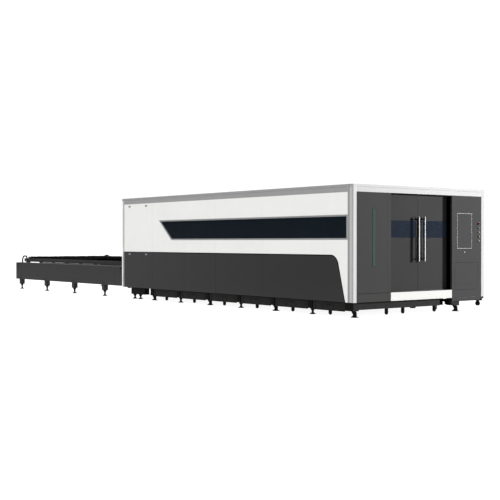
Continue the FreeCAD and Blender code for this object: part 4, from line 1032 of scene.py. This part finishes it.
def post_lines():
    """Extrusion grooves of the posts and rails as strips of painted shade, lighter strips of painted light on
    the posts' sides, their covers, and the gaskets beside them; the rear gasket strips also paint the shadow
    line between post and dark panel.
    """
    foot_z = SKIRT + 0.004
    cap_z = TOP - 0.06
    back, proud = FRONT - 0.001, FRONT + 0.0005
    # Dark strips on the posts' sides: painted shade of the grooves.
    groove = Piece("post_groove_shade_strips", "post_groove_painted_shade", "machine", "post_silver")
    for face, way in SIDES:
        for start in (0.130, 0.118):
            x = FRONT - start
            groove.block((x, face + way * 0.0004, foot_z), (x + 0.012, face - way * 0.001, TOP - 0.004), 0)
    # Lighter strips on the posts' sides and front edge: painted light on a lit face of the profile.
    sides = post_strips(
        "post_side_strips", "post_side", "post_silver", FRONT - 0.106, FRONT - 0.042, 0.0006, foot_z, cap_z,
    )
    sides.block((back, NEAR, foot_z), (proud, NEAR + 0.014, cap_z), 0)
    sides.keep()
    rear = post_strips(
        "rear_post_covers", "panel_white", "post_silver", REAR + 0.0005, REAR + 0.062, 0.0012,
        foot_z, cap_z, 0.0006,
    )
    rear.keep()
    dark_top = high("near_lower_panel").z - 0.02
    # Rear strips: black gasket that also paints the shadow line between the post and the dark panel.
    gasket = post_strips(
        "post_gaskets_and_shadow_lines", "rubber_black", "frame_black", REAR + 0.062, REAR + 0.096, 0.0008, foot_z, dark_top,
    )
    near_edge, far_edge = low("front_left_panel").y, high("front_right_panel").y
    for start, end in ((near_edge - 0.010, near_edge), (far_edge, far_edge + 0.018)):
        gasket.block((back, start, foot_z), (proud, end, high("front_left_panel").z), 0)
    gasket.keep()
    # Dark lines on the rails: painted shade of their grooves.
    dark = Piece("rail_groove_shade_strips", "rail_groove_painted_shade", "machine", "rail_grey")
    rail = high("roof_rails").z - 0.048
    start, end = REAR + 0.12, FRONT - 0.17
    for face, way in SIDES:
        dark.block((start, face + way * 0.0004, rail - 0.002), (end, face - way * 0.001, rail + 0.002), 0)
    dark.block((back, NEAR + 0.09, rail - 0.0015), (proud, FAR - 0.11, rail + 0.0015), 0)
    groove.keep()
    dark.keep()


def roof_fittings():
    """Ribbed roof sheets with seam caps, extract grilles and lifting plates."""
    foot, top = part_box("roof_panel")
    skin = top.z
    rib = Piece("roof_ribs", "roof_grey", "machine")
    start = foot.y + 0.06
    for x in spread(foot.x + 0.09, top.x - 0.09, 34):
        rib.sheet(
            [(x - 0.028, start, skin), (x + 0.028, start, skin), (x + 0.016, start, skin + 0.010),
             (x - 0.016, start, skin + 0.010)],
            Vector((0, top.y - foot.y - 0.12, 0)),
        )
    rib.keep()
    cap = Piece("roof_seam_caps", "rail_grey", "machine")
    for x in spread(foot.x + 1.35, top.x - 1.35, 5):
        cap.block((x - 0.04, foot.y + 0.02, skin), (x + 0.04, top.y - 0.02, skin + 0.016), 0.003, 2)
    cap.keep()
    grille = Piece("extract_grilles", "satin_steel", "machine", "roof_grey")
    hole = Piece("extract_shadows", "dark_gap", "machine", "roof_grey")
    grille_back, grille_pitch = 2.03, 2.68
    for x in steps(foot.x + grille_back, grille_pitch, 2):
        hole.block((x - 0.26, -0.45, skin), (x + 0.26, 0.45, skin + 0.011), 0.001)
        for y in spread(-0.42, 0.42, 22):
            grille.block((x - 0.25, y - 0.008, skin + 0.008), (x + 0.25, y + 0.008, skin + 0.015), 0.001)
        for y in (-0.47, 0.45):
            grille.block((x - 0.28, y, skin), (x + 0.28, y + 0.02, skin + 0.018), 0.002)
        for edge in (x - 0.28, x + 0.26):
            grille.block((edge, -0.45, skin), (edge + 0.02, 0.45, skin + 0.018), 0.002)
    grille.keep()
    hole.keep()
    eye = Piece("lifting_plates", "satin_steel", "machine", "roof_grey")
    socket = [(0, 0.03), (0.005, 0.03), (0.007, 0.026), (0.002, 0.016), (0.002, 0)]
    face = skin + 0.0115
    for x in (foot.x + 0.30, top.x - 0.30):
        for y in (foot.y + 0.20, top.y - 0.20):
            eye.block((x - 0.09, y - 0.06, skin), (x + 0.09, y + 0.06, face), 0.002)
            eye.turned((x, y, face), UP, socket, 28)
            for dx in (-0.07, 0.07):
                for dy in (-0.042, 0.042):
                    eye.bolt((x + dx, y + dy, face), UP, 0.009, 0.006)
    eye.keep()


def rear_end():
    """Trim round the pallet portal, seams, grilles, the cable gland plate and the beacon posts."""
    foot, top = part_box("rear_wall")
    face = foot.x
    pallet_low, pallet_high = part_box("outer_pallet_frame")
    portal_foot, portal_top = 0.50, 1.01
    wall_foot, upper_foot = 0.30, 1.06
    first_slot, slot_pitch = 1.62, 0.036
    left, right = pallet_low.y - 0.030, pallet_high.y + 0.030
    trim = Piece("portal_trim", "rubber_black", "machine", "frame_black")
    for y in (left, right - 0.024):
        trim.block((face - 0.010, y, portal_foot), (face, y + 0.024, portal_top), 0.003, 2)
    trim.block((face - 0.010, left, portal_top), (face, right, portal_top + 0.03), 0.003, 2)
    trim.keep()
    seam = Piece("rear_seams", "seam_grey", "machine", "panel_white")
    for y in (-0.75, 0.35, 1.20):
        seam.block((face - 0.0006, y - 0.0015, upper_foot), (face + 0.001, y + 0.0015, top.z - 0.01), 0)
    seam.block((face - 0.0006, 1.20, wall_foot), (face + 0.001, 1.203, upper_foot), 0)
    seam.keep()
    slit = Piece("rear_grille_slots", "dark_gap", "machine", "panel_white")
    lip = Piece("rear_grille_lips", "panel_white", "machine")
    for y in (-1.25, -0.20, 0.78):
        for up in steps(first_slot, slot_pitch, 10):
            slit.block((face - 0.0008, y - 0.24, up), (face + 0.002, y + 0.24, up + 0.013), 0.0003)
            lip.block((face - 0.006, y - 0.245, up + 0.012), (face + 0.001, y + 0.245, up + 0.021), 0.0015)
    slit.keep()
    lip.keep()
    plate = Piece("gland_plate", "satin_steel", "machine", "steel")
    plate.block((face - 0.004, 1.30, 0.42), (face, 1.62, 0.66), 0.001)
    gland = [(0, 0.022), (0.006, 0.022), (0.007, 0.018), (0.016, 0.016), (0.018, 0.009), (0.018, 0)]
    for up in (0.49, 0.59):
        for y in steps(1.345, 0.077, 4):
            plate.turned((face - 0.004, y, up), -FORWARD, gland, 24)
    plate.keep()
    post = Piece("rear_beacon_posts", "rubber_black", "machine", "frame_black")
    for y in (low("table_frame").y + 0.03, high("table_frame").y - 0.03):
        post.block((face - 0.030, y - 0.02, 1.10), (face, y + 0.02, 1.42), 0.004, 2)
    post.keep()


def skirt_gasket():
    """Black rubber edging along the top and the slanted front edge of the dark panel."""
    foot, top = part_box("near_lower_panel")
    spots = {(round(vert.co.x, 4), round(vert.co.z, 4)) for vert in NODES["near_lower_panel"].data.vertices}
    centre = Vector(((foot.x + top.x) / 2, 0, (foot.z + top.z) / 2))
    points = [Vector((x, 0, z)) - centre for x, z in spots]
    points = [point + centre for point in sorted(points, key=lambda point: -math.atan2(point.z, point.x))]
    start = min(range(len(points)), key=lambda at: points[at].x - points[at].z)
    points = points[start:] + points[:start]
    end = max(range(len(points)), key=lambda at: points[at].x - points[at].z * 0.2)
    edge = points[:end + 1]
    wide = 0.014
    inner = []
    for at, point in enumerate(edge):
        along = (edge[min(at + 1, end)] - edge[max(at - 1, 0)]).normalized()
        inner.append(point + Vector((along.z, 0, -along.x)) * wide)
    ribbon = Piece("skirt_gasket", "seal_black", "machine", "frame_black")
    for at in range(end):
        patch = [edge[at], edge[at + 1], inner[at + 1], inner[at]]
        ribbon.sheet([Vector((spot.x, foot.y - 0.0006, spot.z)) for spot in patch], Vector((0, 0.0012, 0)))
    ribbon.keep()


def long_sides():
    """Both long sides, the posts, the roof and the rear wall."""
    window_joints()
    skirt_gasket()
    side_seams()
    paddle_latches()
    far_side()
    post_lines()
    roof_fittings()
    rear_end()


# ---------------------------------------------------------------- under the machine


def foot_places():
    """Centre of every levelling foot, found from the lowest corners of its pad."""
    groups = {}
    for vert in NODES["levelling_feet"].data.vertices:
        if vert.co.z < 0.001:
            groups.setdefault((round(vert.co.x / 0.25), round(vert.co.y / 0.25)), []).append(vert.co.copy())
    places = []
    for spots in groups.values():
        centre = sum(spots, Vector()) / len(spots)
        near = [place for place in places if (place - centre).length < 0.14]
        if not near:
            places.append(centre)
    return sorted(places, key=lambda place: (round(place.x, 2), round(place.y, 2)))


def foot_nuts():
    """Locking nuts, thread and rubber soles of the levelling feet."""
    nut = Piece("foot_nuts", "foot_steel", "machine")
    sole = Piece("foot_soles", "rubber_black", "machine", "foot_steel")
    for place in foot_places():
        nut.hexagon(place + UP * 0.016, place + UP * 0.040, 0.026)
        nut.turned(place + UP * 0.040, UP, [(0, 0.018), (0.002, 0.0215), (0.058, 0.0215), (0.060, 0.018)], 20)
        sole.turned(place, UP, [(0.0005, 0.0565), (0.004, 0.058), (0.008, 0.0565), (0.009, 0.050)], 32)
    nut.keep()
    sole.keep()


def drawer_fronts():
    """Pressed fronts of the scrap drawers: rolled lip, arched stamping, pull bar and ribs."""
    base = 0.121
    for number in range(1, 7):
        node = "scrap_drawer_%d" % number
        body = "drawer_%d" % number
        foot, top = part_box(node)
        face = foot.y
        left, right = foot.x + 0.012, top.x - 0.012
        centre = (left + right) / 2
        front = Piece(node + "_front", "drawer_grey", body, "frame_black")
        front.block((left, face - 0.004, base - 0.018), (right, face, top.z - 0.004), 0.002, 2)
        front.block((left, face - 0.016, top.z - 0.012), (right, face - 0.002, top.z - 0.003), 0.003, 2)
        front.block((left, face - 0.010, base - 0.022), (right, face, base - 0.012), 0.002)
        for x in (left + 0.06, centre - 0.16, centre + 0.12, right - 0.06):
            front.block((x, face - 0.010, base - 0.008), (x + 0.014, face - 0.003, top.z - 0.014), 0.003, 2)
        front.keep()
        stamp = Piece(node + "_stamping", "drawer_grey", body, "frame_black")
        start, end = left + 0.10, centre - 0.19
        arch = [
            Vector((x, face - 0.004, base + 0.070 + 0.034 * math.sin(math.pi * step / 12)))
            for step, x in enumerate(spread(start, end, 13))
        ]
        arch += [Vector((x, face - 0.004, base + 0.022)) for x in (end, start)]
        stamp.sheet(arch, Vector((0, -0.004, 0)), 0.001)
        stamp.keep()
        pull = Piece(node + "_pull", "foot_steel", body)
        grip = base + 0.088
        for x in (centre - 0.055, centre + 0.055):
            pull.rod((x, face - 0.003, grip), (x, face - 0.020, grip), 0.005, 0.001, 14)
        line = ((-0.062, 0.018), (-0.03, 0.022), (0.03, 0.022), (0.062, 0.018))
        pull.hose([(centre + along, face - out, grip) for along, out in line], 0.0055, 12, 4)
        pull.keep()
        ribs = Piece(node + "_ribs", "slat_steel", body, "frame_black")
        for y in spread(foot.y + 0.35, top.y - 0.35, 6):
            ribs.block((left + 0.01, y - 0.012, base + 0.008), (right - 0.01, y + 0.012, base + 0.014), 0.002)
        ribs.keep()


def bed_details():
    """Shade strip and bolts under the front, foot braces, cleats, slag chutes and air ducts."""
    near = low("bed_frame").y
    strip = Piece("front_shade_strip", "dark_gap", "machine", "frame_black")
    strip.block((FRONT - 0.036, NEAR + 0.10, SKIRT - 0.020), (FRONT - 0.006, 0.57, SKIRT), 0.002)
    strip.keep()
    bolts = Piece("apron_bolts", "frame_black", "machine")
    for y in spread(NEAR + 0.30, 0.45, 8):
        bolts.bolt((FRONT - 0.040, y, 0.19), FORWARD, 0.007, 0.004)
    bolts.keep()
    brace = Piece("front_foot_braces", "seal_black", "machine", "frame_black")
    outline = (
        (0.555, 0.262), (0.800, 0.262), (0.800, 0.150), (0.700, 0.150),
        (0.688, 0.205), (0.590, 0.212), (0.555, 0.212),
    )
    brace.sheet([(FRONT - 0.060, y, up) for y, up in outline], Vector((0.012, 0, 0)), 0.001)
    brace.block((FRONT - 0.120, FAR - 0.150, 0.190), (FRONT - 0.012, FAR - 0.042, 0.247), 0.004, 2)
    brace.keep()
    cleat = Piece("bed_cleats", "frame_black", "machine")
    first_foot, foot_pitch = 1.227, 1.127
    for back in steps(first_foot, foot_pitch, 6):
        x = FRONT - back
        cleat.block((x - 0.058, near - 0.008, 0.235), (x + 0.058, near, 0.262), 0.003, 2)
        cleat.block((x - 0.056, near - 0.010, 0.118), (x + 0.056, near, 0.134), 0.003, 2)
    cleat.keep()
    chute = Piece("slag_chutes", "slat_steel", "machine", "frame_black")
    slope = ((0, 0.455), (0.02, 0.455), (0.64, 0.352), (0.64, 0.346), (0, 0.446))
    for back in spread(0.75, 6.45, 6):
        x = FRONT - back - 0.44
        for edge, way in ((-1.62, 1), (0.94, -1)):
            chute.sheet([(x, edge + way * along, up) for along, up in slope], Vector((0.88, 0, 0)))
    chute.keep()
    duct = Piece("bed_air_ducts", "cabinet_grey", "machine")
    mouth = [(0, 0.075), (0.006, 0.085), (0.02, 0.085), (0.024, 0.075), (0.044, 0.072)]
    bed_side, axis, height = 1.112, 1.20, 0.62
    for back in spread(1.35, 6.75, 6):
        duct.turned((FRONT - back, bed_side, height), ACROSS, mouth, 28)
    duct.hose([(FRONT - back, axis, height) for back in (1.2, 3.0, 5.0, 6.95)], 0.06, 20, 6)
    duct.keep()


def guide_details():
    """Rack teeth and rail bolts of the long guides."""
    foot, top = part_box("x_guides")
    teeth = Piece("rack_teeth", "steel", "machine")
    bolts = Piece("rail_bolts", "rubber_black", "machine", "steel")
    pitch = 0.0314
    tooth = ((0, 0), (0.016, 0), (0.0115, 0.008), (0.0045, 0.008))
    for x in steps(foot.x + 0.1, pitch, int((top.x - foot.x - 0.2) / pitch)):
        for y in (foot.y + 0.072, top.y - 0.086):
            teeth.sheet([(x + along, y, top.z + up) for along, up in tooth], Vector((0, 0.014, 0)))
    head = [(0, 0.006), (0.0012, 0.006), (0.0012, 0.003), (0.0004, 0.003), (0.0004, 0)]
    for x in spread(foot.x + 0.06, top.x - 0.06, 58):
        for y in (foot.y + 0.017, top.y - 0.017):
            bolts.turned((x, y, top.z - 0.0005), UP, head, 12)
    teeth.keep()
    bolts.keep()


# ---------------------------------------------------------------- exchange table


def slat_places(pallet):
    """Distances along the machine of one pallet's slats."""
    foot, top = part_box(pallet + "_slats")
    return spread(foot.x, top.x - SLAT_THICK, 1 + int((top.x - foot.x) / SLAT_PITCH))


def pallet_slats():
    """Sharp-toothed cutting slats, darkened by heat and made near-black as painted shade among them, uneven
    along their edges, for both pallets.
    """
    teeth = 46
    for pallet, seed in (("outer_pallet", 11), ("inner_pallet", 12)):
        node = pallet + "_slats"
        foot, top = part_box(node)
        slats = Piece(pallet + "_cutting_slats", "slat_steel", pallet)
        chance = random.Random(seed)
        step = (top.y - foot.y) / teeth
        root = top.z - 0.034
        for x in slat_places(pallet):
            outline = [Vector((x, foot.y, foot.z)), Vector((x, foot.y, root))]
            for start in steps(foot.y, step, teeth):
                worn = chance.uniform(0, 0.010) * (1 if chance.random() < 0.8 else 2.2)
                tip = top.z - 0.0005 - worn
                outline.append(Vector((x, start + step * 0.36, tip)))
                outline.append(Vector((x, start + step * 0.64, tip)))
                outline.append(Vector((x, start + step * 0.999, root - chance.uniform(0, 0.004))))
            outline.append(Vector((x, top.y, foot.z)))
            slats.sheet(outline, Vector((SLAT_THICK, 0, 0)))
        slats.keep(node)


def pallet_details():
    """A centre keel with its pads, slat holders, bolts and corner rollers for each pallet."""
    wheel = [(0, 0.022), (0.001, 0.022), (0.002, 0.020), (0.002, 0.010), (0.001, 0.009), (0.001, 0)]
    for pallet, deep in (("outer_pallet", 0.060), ("inner_pallet", 0.018)):
        foot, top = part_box(pallet + "_frame")
        under = foot.z + 0.024
        y = (foot.y + top.y) / 2
        keel = Piece(pallet + "_keel", "pallet_steel", pallet)
        start, end = foot.x + 0.03, top.x - 0.03
        keel.block((start, y - 0.035, under - deep), (end, y + 0.035, under + 0.002), 0.004, 2)
        for x in spread(foot.x + 0.5, top.x - 0.5, 8):
            keel.block((x - 0.05, y - 0.05, under - 0.004), (x + 0.05, y + 0.05, under + 0.012), 0.003)
        keel.keep()
        comb = Piece(pallet + "_slat_holders", "pallet_steel", pallet)
        for x in slat_places(pallet):
            for y, tip in ((foot.y + 0.060, foot.y + 0.090), (top.y - 0.060, top.y - 0.090)):
                for start in (x - 0.010, x + 0.008):
                    comb.block((start, y, top.z - 0.050), (start + 0.008, tip, top.z - 0.004), 0.001)
        comb.keep()
        bolts = Piece(pallet + "_bolts", "rubber_black", pallet, "pallet_steel")
        for x in spread(foot.x + 0.12, top.x - 0.12, 16):
            bolts.bolt((x, foot.y, under + 0.045), -ACROSS, 0.010, 0.002)
            bolts.bolt((x, top.y, under + 0.045), ACROSS, 0.010, 0.002)
        bolts.keep()
        roller = Piece(pallet + "_rollers", "steel", pallet, "pallet_steel")
        for x in (foot.x + 0.11, top.x - 0.11):
            for y, way in ((foot.y, -1), (top.y, 1)):
                roller.turned((x, y, under + 0.030), ACROSS * way, wheel, 28)
        roller.keep()


def table_details():
    """Wear strips that also paint the highlight along the table's top edge, pallet guides, joint plates,
    seams, bolts, ribs and sensors of the long channels.
    """
    foot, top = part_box("table_frame")
    start = -0.90
    ledge = 0.768
    guide_foot, guide_top = 0.755, 0.7935
    guide_start, guide_end = FRONT - 12.95, REAR - 0.02
    # Light steel strips along the top edge: wear strips that also paint its highlight.
    strip = Piece("table_wear_strip", "edge_steel", "machine", "steel")
    for y in (foot.y + 0.001, top.y - 0.011):
        strip.block((foot.x + 0.30, y, ledge), (start, y + 0.010, ledge + 0.005), 0.001)
    strip.keep()
    guide = Piece("pallet_guides", "table_black", "machine")
    for y in (foot.y + 0.075, top.y - 0.090):
        guide.block((guide_start, y, guide_foot), (guide_end, y + 0.015, guide_top), 0.002, 2)
        for x in spread(guide_start + 0.10, guide_end - 0.13, 9):
            pad = guide_foot - 0.010
            guide.block((x - 0.03, y - 0.060, pad), (x + 0.03, y + 0.060, pad + 0.012), 0.002)
    guide.keep()
    joint = Piece("table_joint_plates", "table_black", "machine")
    bolts = Piece("table_bolts", "table_black", "machine")
    gap = Piece("table_seams", "dark_gap", "machine", "table_black")
    first_leg, leg_pitch = FRONT - 9.245, -1.633
    legs = steps(first_leg, leg_pitch, 4)
    base = 0.290
    for face, way in ((foot.y, -1), (top.y, 1)):
        proud = face + way * 0.006
        for x in (legs[0] + 0.62, legs[2] + 0.80):
            gap.block((x - 0.0015, face - way * 0.001, base), (x + 0.0015, face + way * 0.0006, 0.764), 0)
        for x in legs:
            joint.block((x - 0.070, face, base), (x + 0.070, proud, 0.360), 0.002, 2)
            for shift in (-0.045, 0.045):
                bolts.bolt((x + shift, proud, 0.325), (0, way, 0), 0.011, 0.009)
        for x in spread(foot.x + 0.2, start - 0.2, 13):
            bolts.bolt((x, face, 0.735), (0, way, 0), 0.008, 0.006)
    joint.keep()
    bolts.keep()
    gap.keep()
    rib = Piece("table_inner_ribs", "table_black", "machine")
    outline = ((0, 0.300), (0.060, 0.300), (0.020, 0.400), (0, 0.440))
    for x in spread(foot.x + 0.45, start - 0.45, 10):
        for y, way in ((foot.y + 0.010, 1), (top.y - 0.010, -1)):
            rib.sheet([(x, y + way * along, up) for along, up in outline], Vector((0.008, 0, 0)))
    rib.keep()
    sensor = Piece("table_sensors", "table_black", "machine")
    cable = ((0, 0.015, 0.700), (0, 0.016, 0.62), (0.05, 0.012, 0.56), (0.10, 0.006, 0.545))
    for x in (foot.x + 0.18, start - 0.25):
        sensor.block((x - 0.02, foot.y - 0.030, 0.700), (x + 0.02, foot.y, 0.745), 0.003, 2)
        sensor.hose([(x - along, foot.y - out, up) for along, out, up in cable], 0.004, 8, 5)
    sensor.keep()


def chain_links():
    """Side plates of the drive chains, and collars on the shaft that drives them."""
    link = Piece("chain_side_plates", "track_steel", "machine", "foot_steel")
    links, pitch = 113, 0.0508
    chain_start = FRONT - 14.14
    lower_run, upper_run = 0.372, 0.468
    for y in (NEAR + 0.110, NEAR + 2.796):
        for up in (lower_run, upper_run):
            for x in steps(chain_start, pitch, links):
                for side in (y - 0.0025, y + 0.0145):
                    link.block((x, side, up - 0.007), (x + 0.040, side + 0.002, up + 0.007), 0)
    link.keep()
    start = low("drive_shaft").y
    centre = middle("drive_shaft")
    hub = Piece("shaft_collars", "satin_steel", "shaft", "steel")
    collar = [(0, 0.022), (0.001, 0.031), (0.018, 0.031), (0.019, 0.022)]
    for y in (start + 0.12, start + 0.9, start + 1.7):
        hub.turned((centre.x, y, centre.z), ACROSS, collar, 28)
        screw = Vector((centre.x, y + 0.009, centre.z))
        hub.hexagon(screw + UP * 0.028, screw + UP * 0.036, 0.005)
    hub.keep()


def exchange_table():
    """The two pallets, the table under them and their drive."""
    pallet_slats()
    pallet_details()
    table_details()
    chain_links()


# ---------------------------------------------------------------- gantry and cabinets


def gantry_details():
    """Cable chain and its tray on the gantry, bellows along the rails, and covers."""
    foot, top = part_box("gantry_beam")
    chain = Piece("gantry_cable_chain", "rubber_black", "gantry", "foot_steel")
    length = 2.2
    pitch = 0.046
    for y in steps(foot.y + 0.32, pitch, int(length / pitch)):
        chain.block((foot.x + 0.03, y, top.z), (foot.x + 0.12, y + 0.036, top.z + 0.040), 0.003)
        chain.block((foot.x + 0.035, y + 0.030, top.z + 0.006), (foot.x + 0.115, y + 0.050, top.z + 0.034), 0)
    chain.keep()
    tray = Piece("cable_tray", "satin_steel", "gantry", "steel")
    for x, tall in ((foot.x + 0.02, 0.045), (foot.x + 0.126, 0.020)):
        tray.block((x, foot.y + 0.25, top.z), (x + 0.004, top.y - 0.25, top.z + tall), 0.0008)
    tray.keep()
    bellow = Piece("gantry_bellows", "rubber_black", "gantry", "foot_steel")
    rail = low("y_rails").x
    base = middle("y_rails").z - 0.06
    for y in steps(foot.y + 0.52, 0.050, 44):
        fold = [(rail, y, base), (rail + 0.012, y + 0.012, base), (rail, y + 0.024, base)]
        bellow.sheet(fold, Vector((0, 0, 0.12)))
    bellow.keep()
    cover = Piece("gantry_end_covers", "cabinet_grey", "gantry")
    for y in (foot.y + 0.010, top.y - 0.024):
        cover.block((foot.x + 0.03, y, top.z - 0.004), (top.x - 0.03, y + 0.014, top.z + 0.012), 0.003, 2)
    for y in spread(foot.y + 0.5, top.y - 0.5, 6):
        cover.block((foot.x - 0.004, y - 0.10, foot.z + 0.10), (foot.x, y + 0.10, top.z - 0.10), 0.002, 2)
    cover.keep()


def carriage_details():
    """Bolts and lift motor of the carriage, and the head's rings, hoses and nozzle ring."""
    foot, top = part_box("cross_carriage")
    head_low, head_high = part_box("cutting_head")
    bolts = Piece("carriage_bolts", "satin_steel", "carriage", "steel")
    for y in (foot.y + 0.03, top.y - 0.03):
        for up in spread(foot.z + 0.04, top.z - 0.04, 4):
            bolts.bolt((top.x, y, up), FORWARD, 0.009, 0.007)
    bolts.keep()
    servo = Piece("lift_servo", "rubber_black", "carriage", "foot_steel")
    x, y = foot.x + 0.045, top.y - 0.075
    servo.block((x - 0.030, y - 0.045, top.z), (x + 0.030, y + 0.045, top.z + 0.012), 0.003, 2)
    servo.block((x - 0.027, y - 0.040, top.z + 0.012), (x + 0.027, y + 0.040, top.z + 0.150), 0.006, 2)
    for up in spread(top.z + 0.03, top.z + 0.13, 9):
        servo.block((x - 0.029, y - 0.042, up), (x + 0.029, y + 0.042, up + 0.004), 0.001)
    servo.keep()
    rings = Piece("head_rings", "satin_steel", "head", "head_grey")
    for up in (head_low.z + 0.10, head_low.z + 0.16, head_high.z - 0.16):
        for y in (head_low.y - 0.002, head_high.y):
            rings.block((head_low.x + 0.012, y, up), (head_high.x - 0.010, y + 0.002, up + 0.05), 0.0008)
    rings.keep()
    hoses = Piece("head_hoses", "rubber_black", "head", "foot_steel")
    centre = middle("cutting_head")
    cap, face = head_high.z, head_high.x
    route = (
        (centre.x, 1, -0.004), (centre.x, 1, 0.055), (centre.x + 0.01, 1.1, 0.100),
        (centre.x + 0.045, 1.3, 0.090), (face + 0.014, 1.4, 0.01), (face + 0.010, 1.4, -0.10),
        (face + 0.001, 1.2, -0.16),
    )
    for shift, radius in ((-0.030, 0.007), (0.0, 0.009), (0.032, 0.006)):
        hoses.hose([(x, centre.y + shift * fan, cap + up) for x, fan, up in route], radius, 10, 6)
    hoses.keep()
    rim = Piece("nozzle_ring", "brass_tip", "head")
    centre = middle("nozzle")
    profile = [(0, 0.020), (0.002, 0.030), (0.010, 0.031), (0.013, 0.028), (0.013, 0.02)]
    rim.turned((centre.x, centre.y, low("nozzle").z + 0.050), UP, profile, 32)
    rim.keep()


def cabinet_details():
    """Doors, louvres, handles and lifting studs on the laser source and the control rack."""
    stud = [(0, 0.02), (0.012, 0.02), (0.016, 0.014), (0.034, 0.014), (0.036, 0.01)]
    for node in ("laser_source", "control_rack"):
        foot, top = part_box(node)
        face = foot.y
        plate = face - 0.014
        half = (foot.z + top.z) / 2
        skin = Piece(node + "_doors", "cabinet_grey", "machine")
        slots = Piece(node + "_louvres", "dark_gap", "machine", "cabinet_grey")
        knob = Piece(node + "_handles", "satin_steel", "machine", "steel")
        edges = spread(foot.x + 0.02, top.x - 0.02, 3)
        for left, right in zip(edges, edges[1:]):
            skin.block((left + 0.004, plate, foot.z + 0.05), (right - 0.004, face, top.z - 0.04), 0.004, 2)
            start, end = left + 0.06, right - 0.06
            for up in steps(foot.z + 0.14, 0.028, 8) + steps(top.z - 0.36, 0.028, 8):
                slots.block((start, plate - 0.0015, up), (end, plate + 0.001, up + 0.011), 0.0005)
            x = right - 0.04
            knob.rod((x, plate, half), (x, face - 0.030, half), 0.012)
            grip = face - 0.036
            knob.block((x - 0.006, grip, half - 0.06), (x + 0.006, grip + 0.008, half + 0.02), 0.003, 2)
        for x in (foot.x + 0.06, top.x - 0.06):
            knob.turned((x, foot.y + 0.08, top.z), UP, stud, 24)
        skin.keep()
        slots.keep()
        knob.keep()


def inside_works():
    """Everything under and inside the cabin, and the table behind it."""
    foot_nuts()
    drawer_fronts()
    bed_details()
    guide_details()
    exchange_table()
    gantry_details()
    carriage_details()
    cabinet_details()


place_camera()
light_studio()
lay_floor()
finish_cad_nodes()
operators_end()
long_sides()
inside_works()
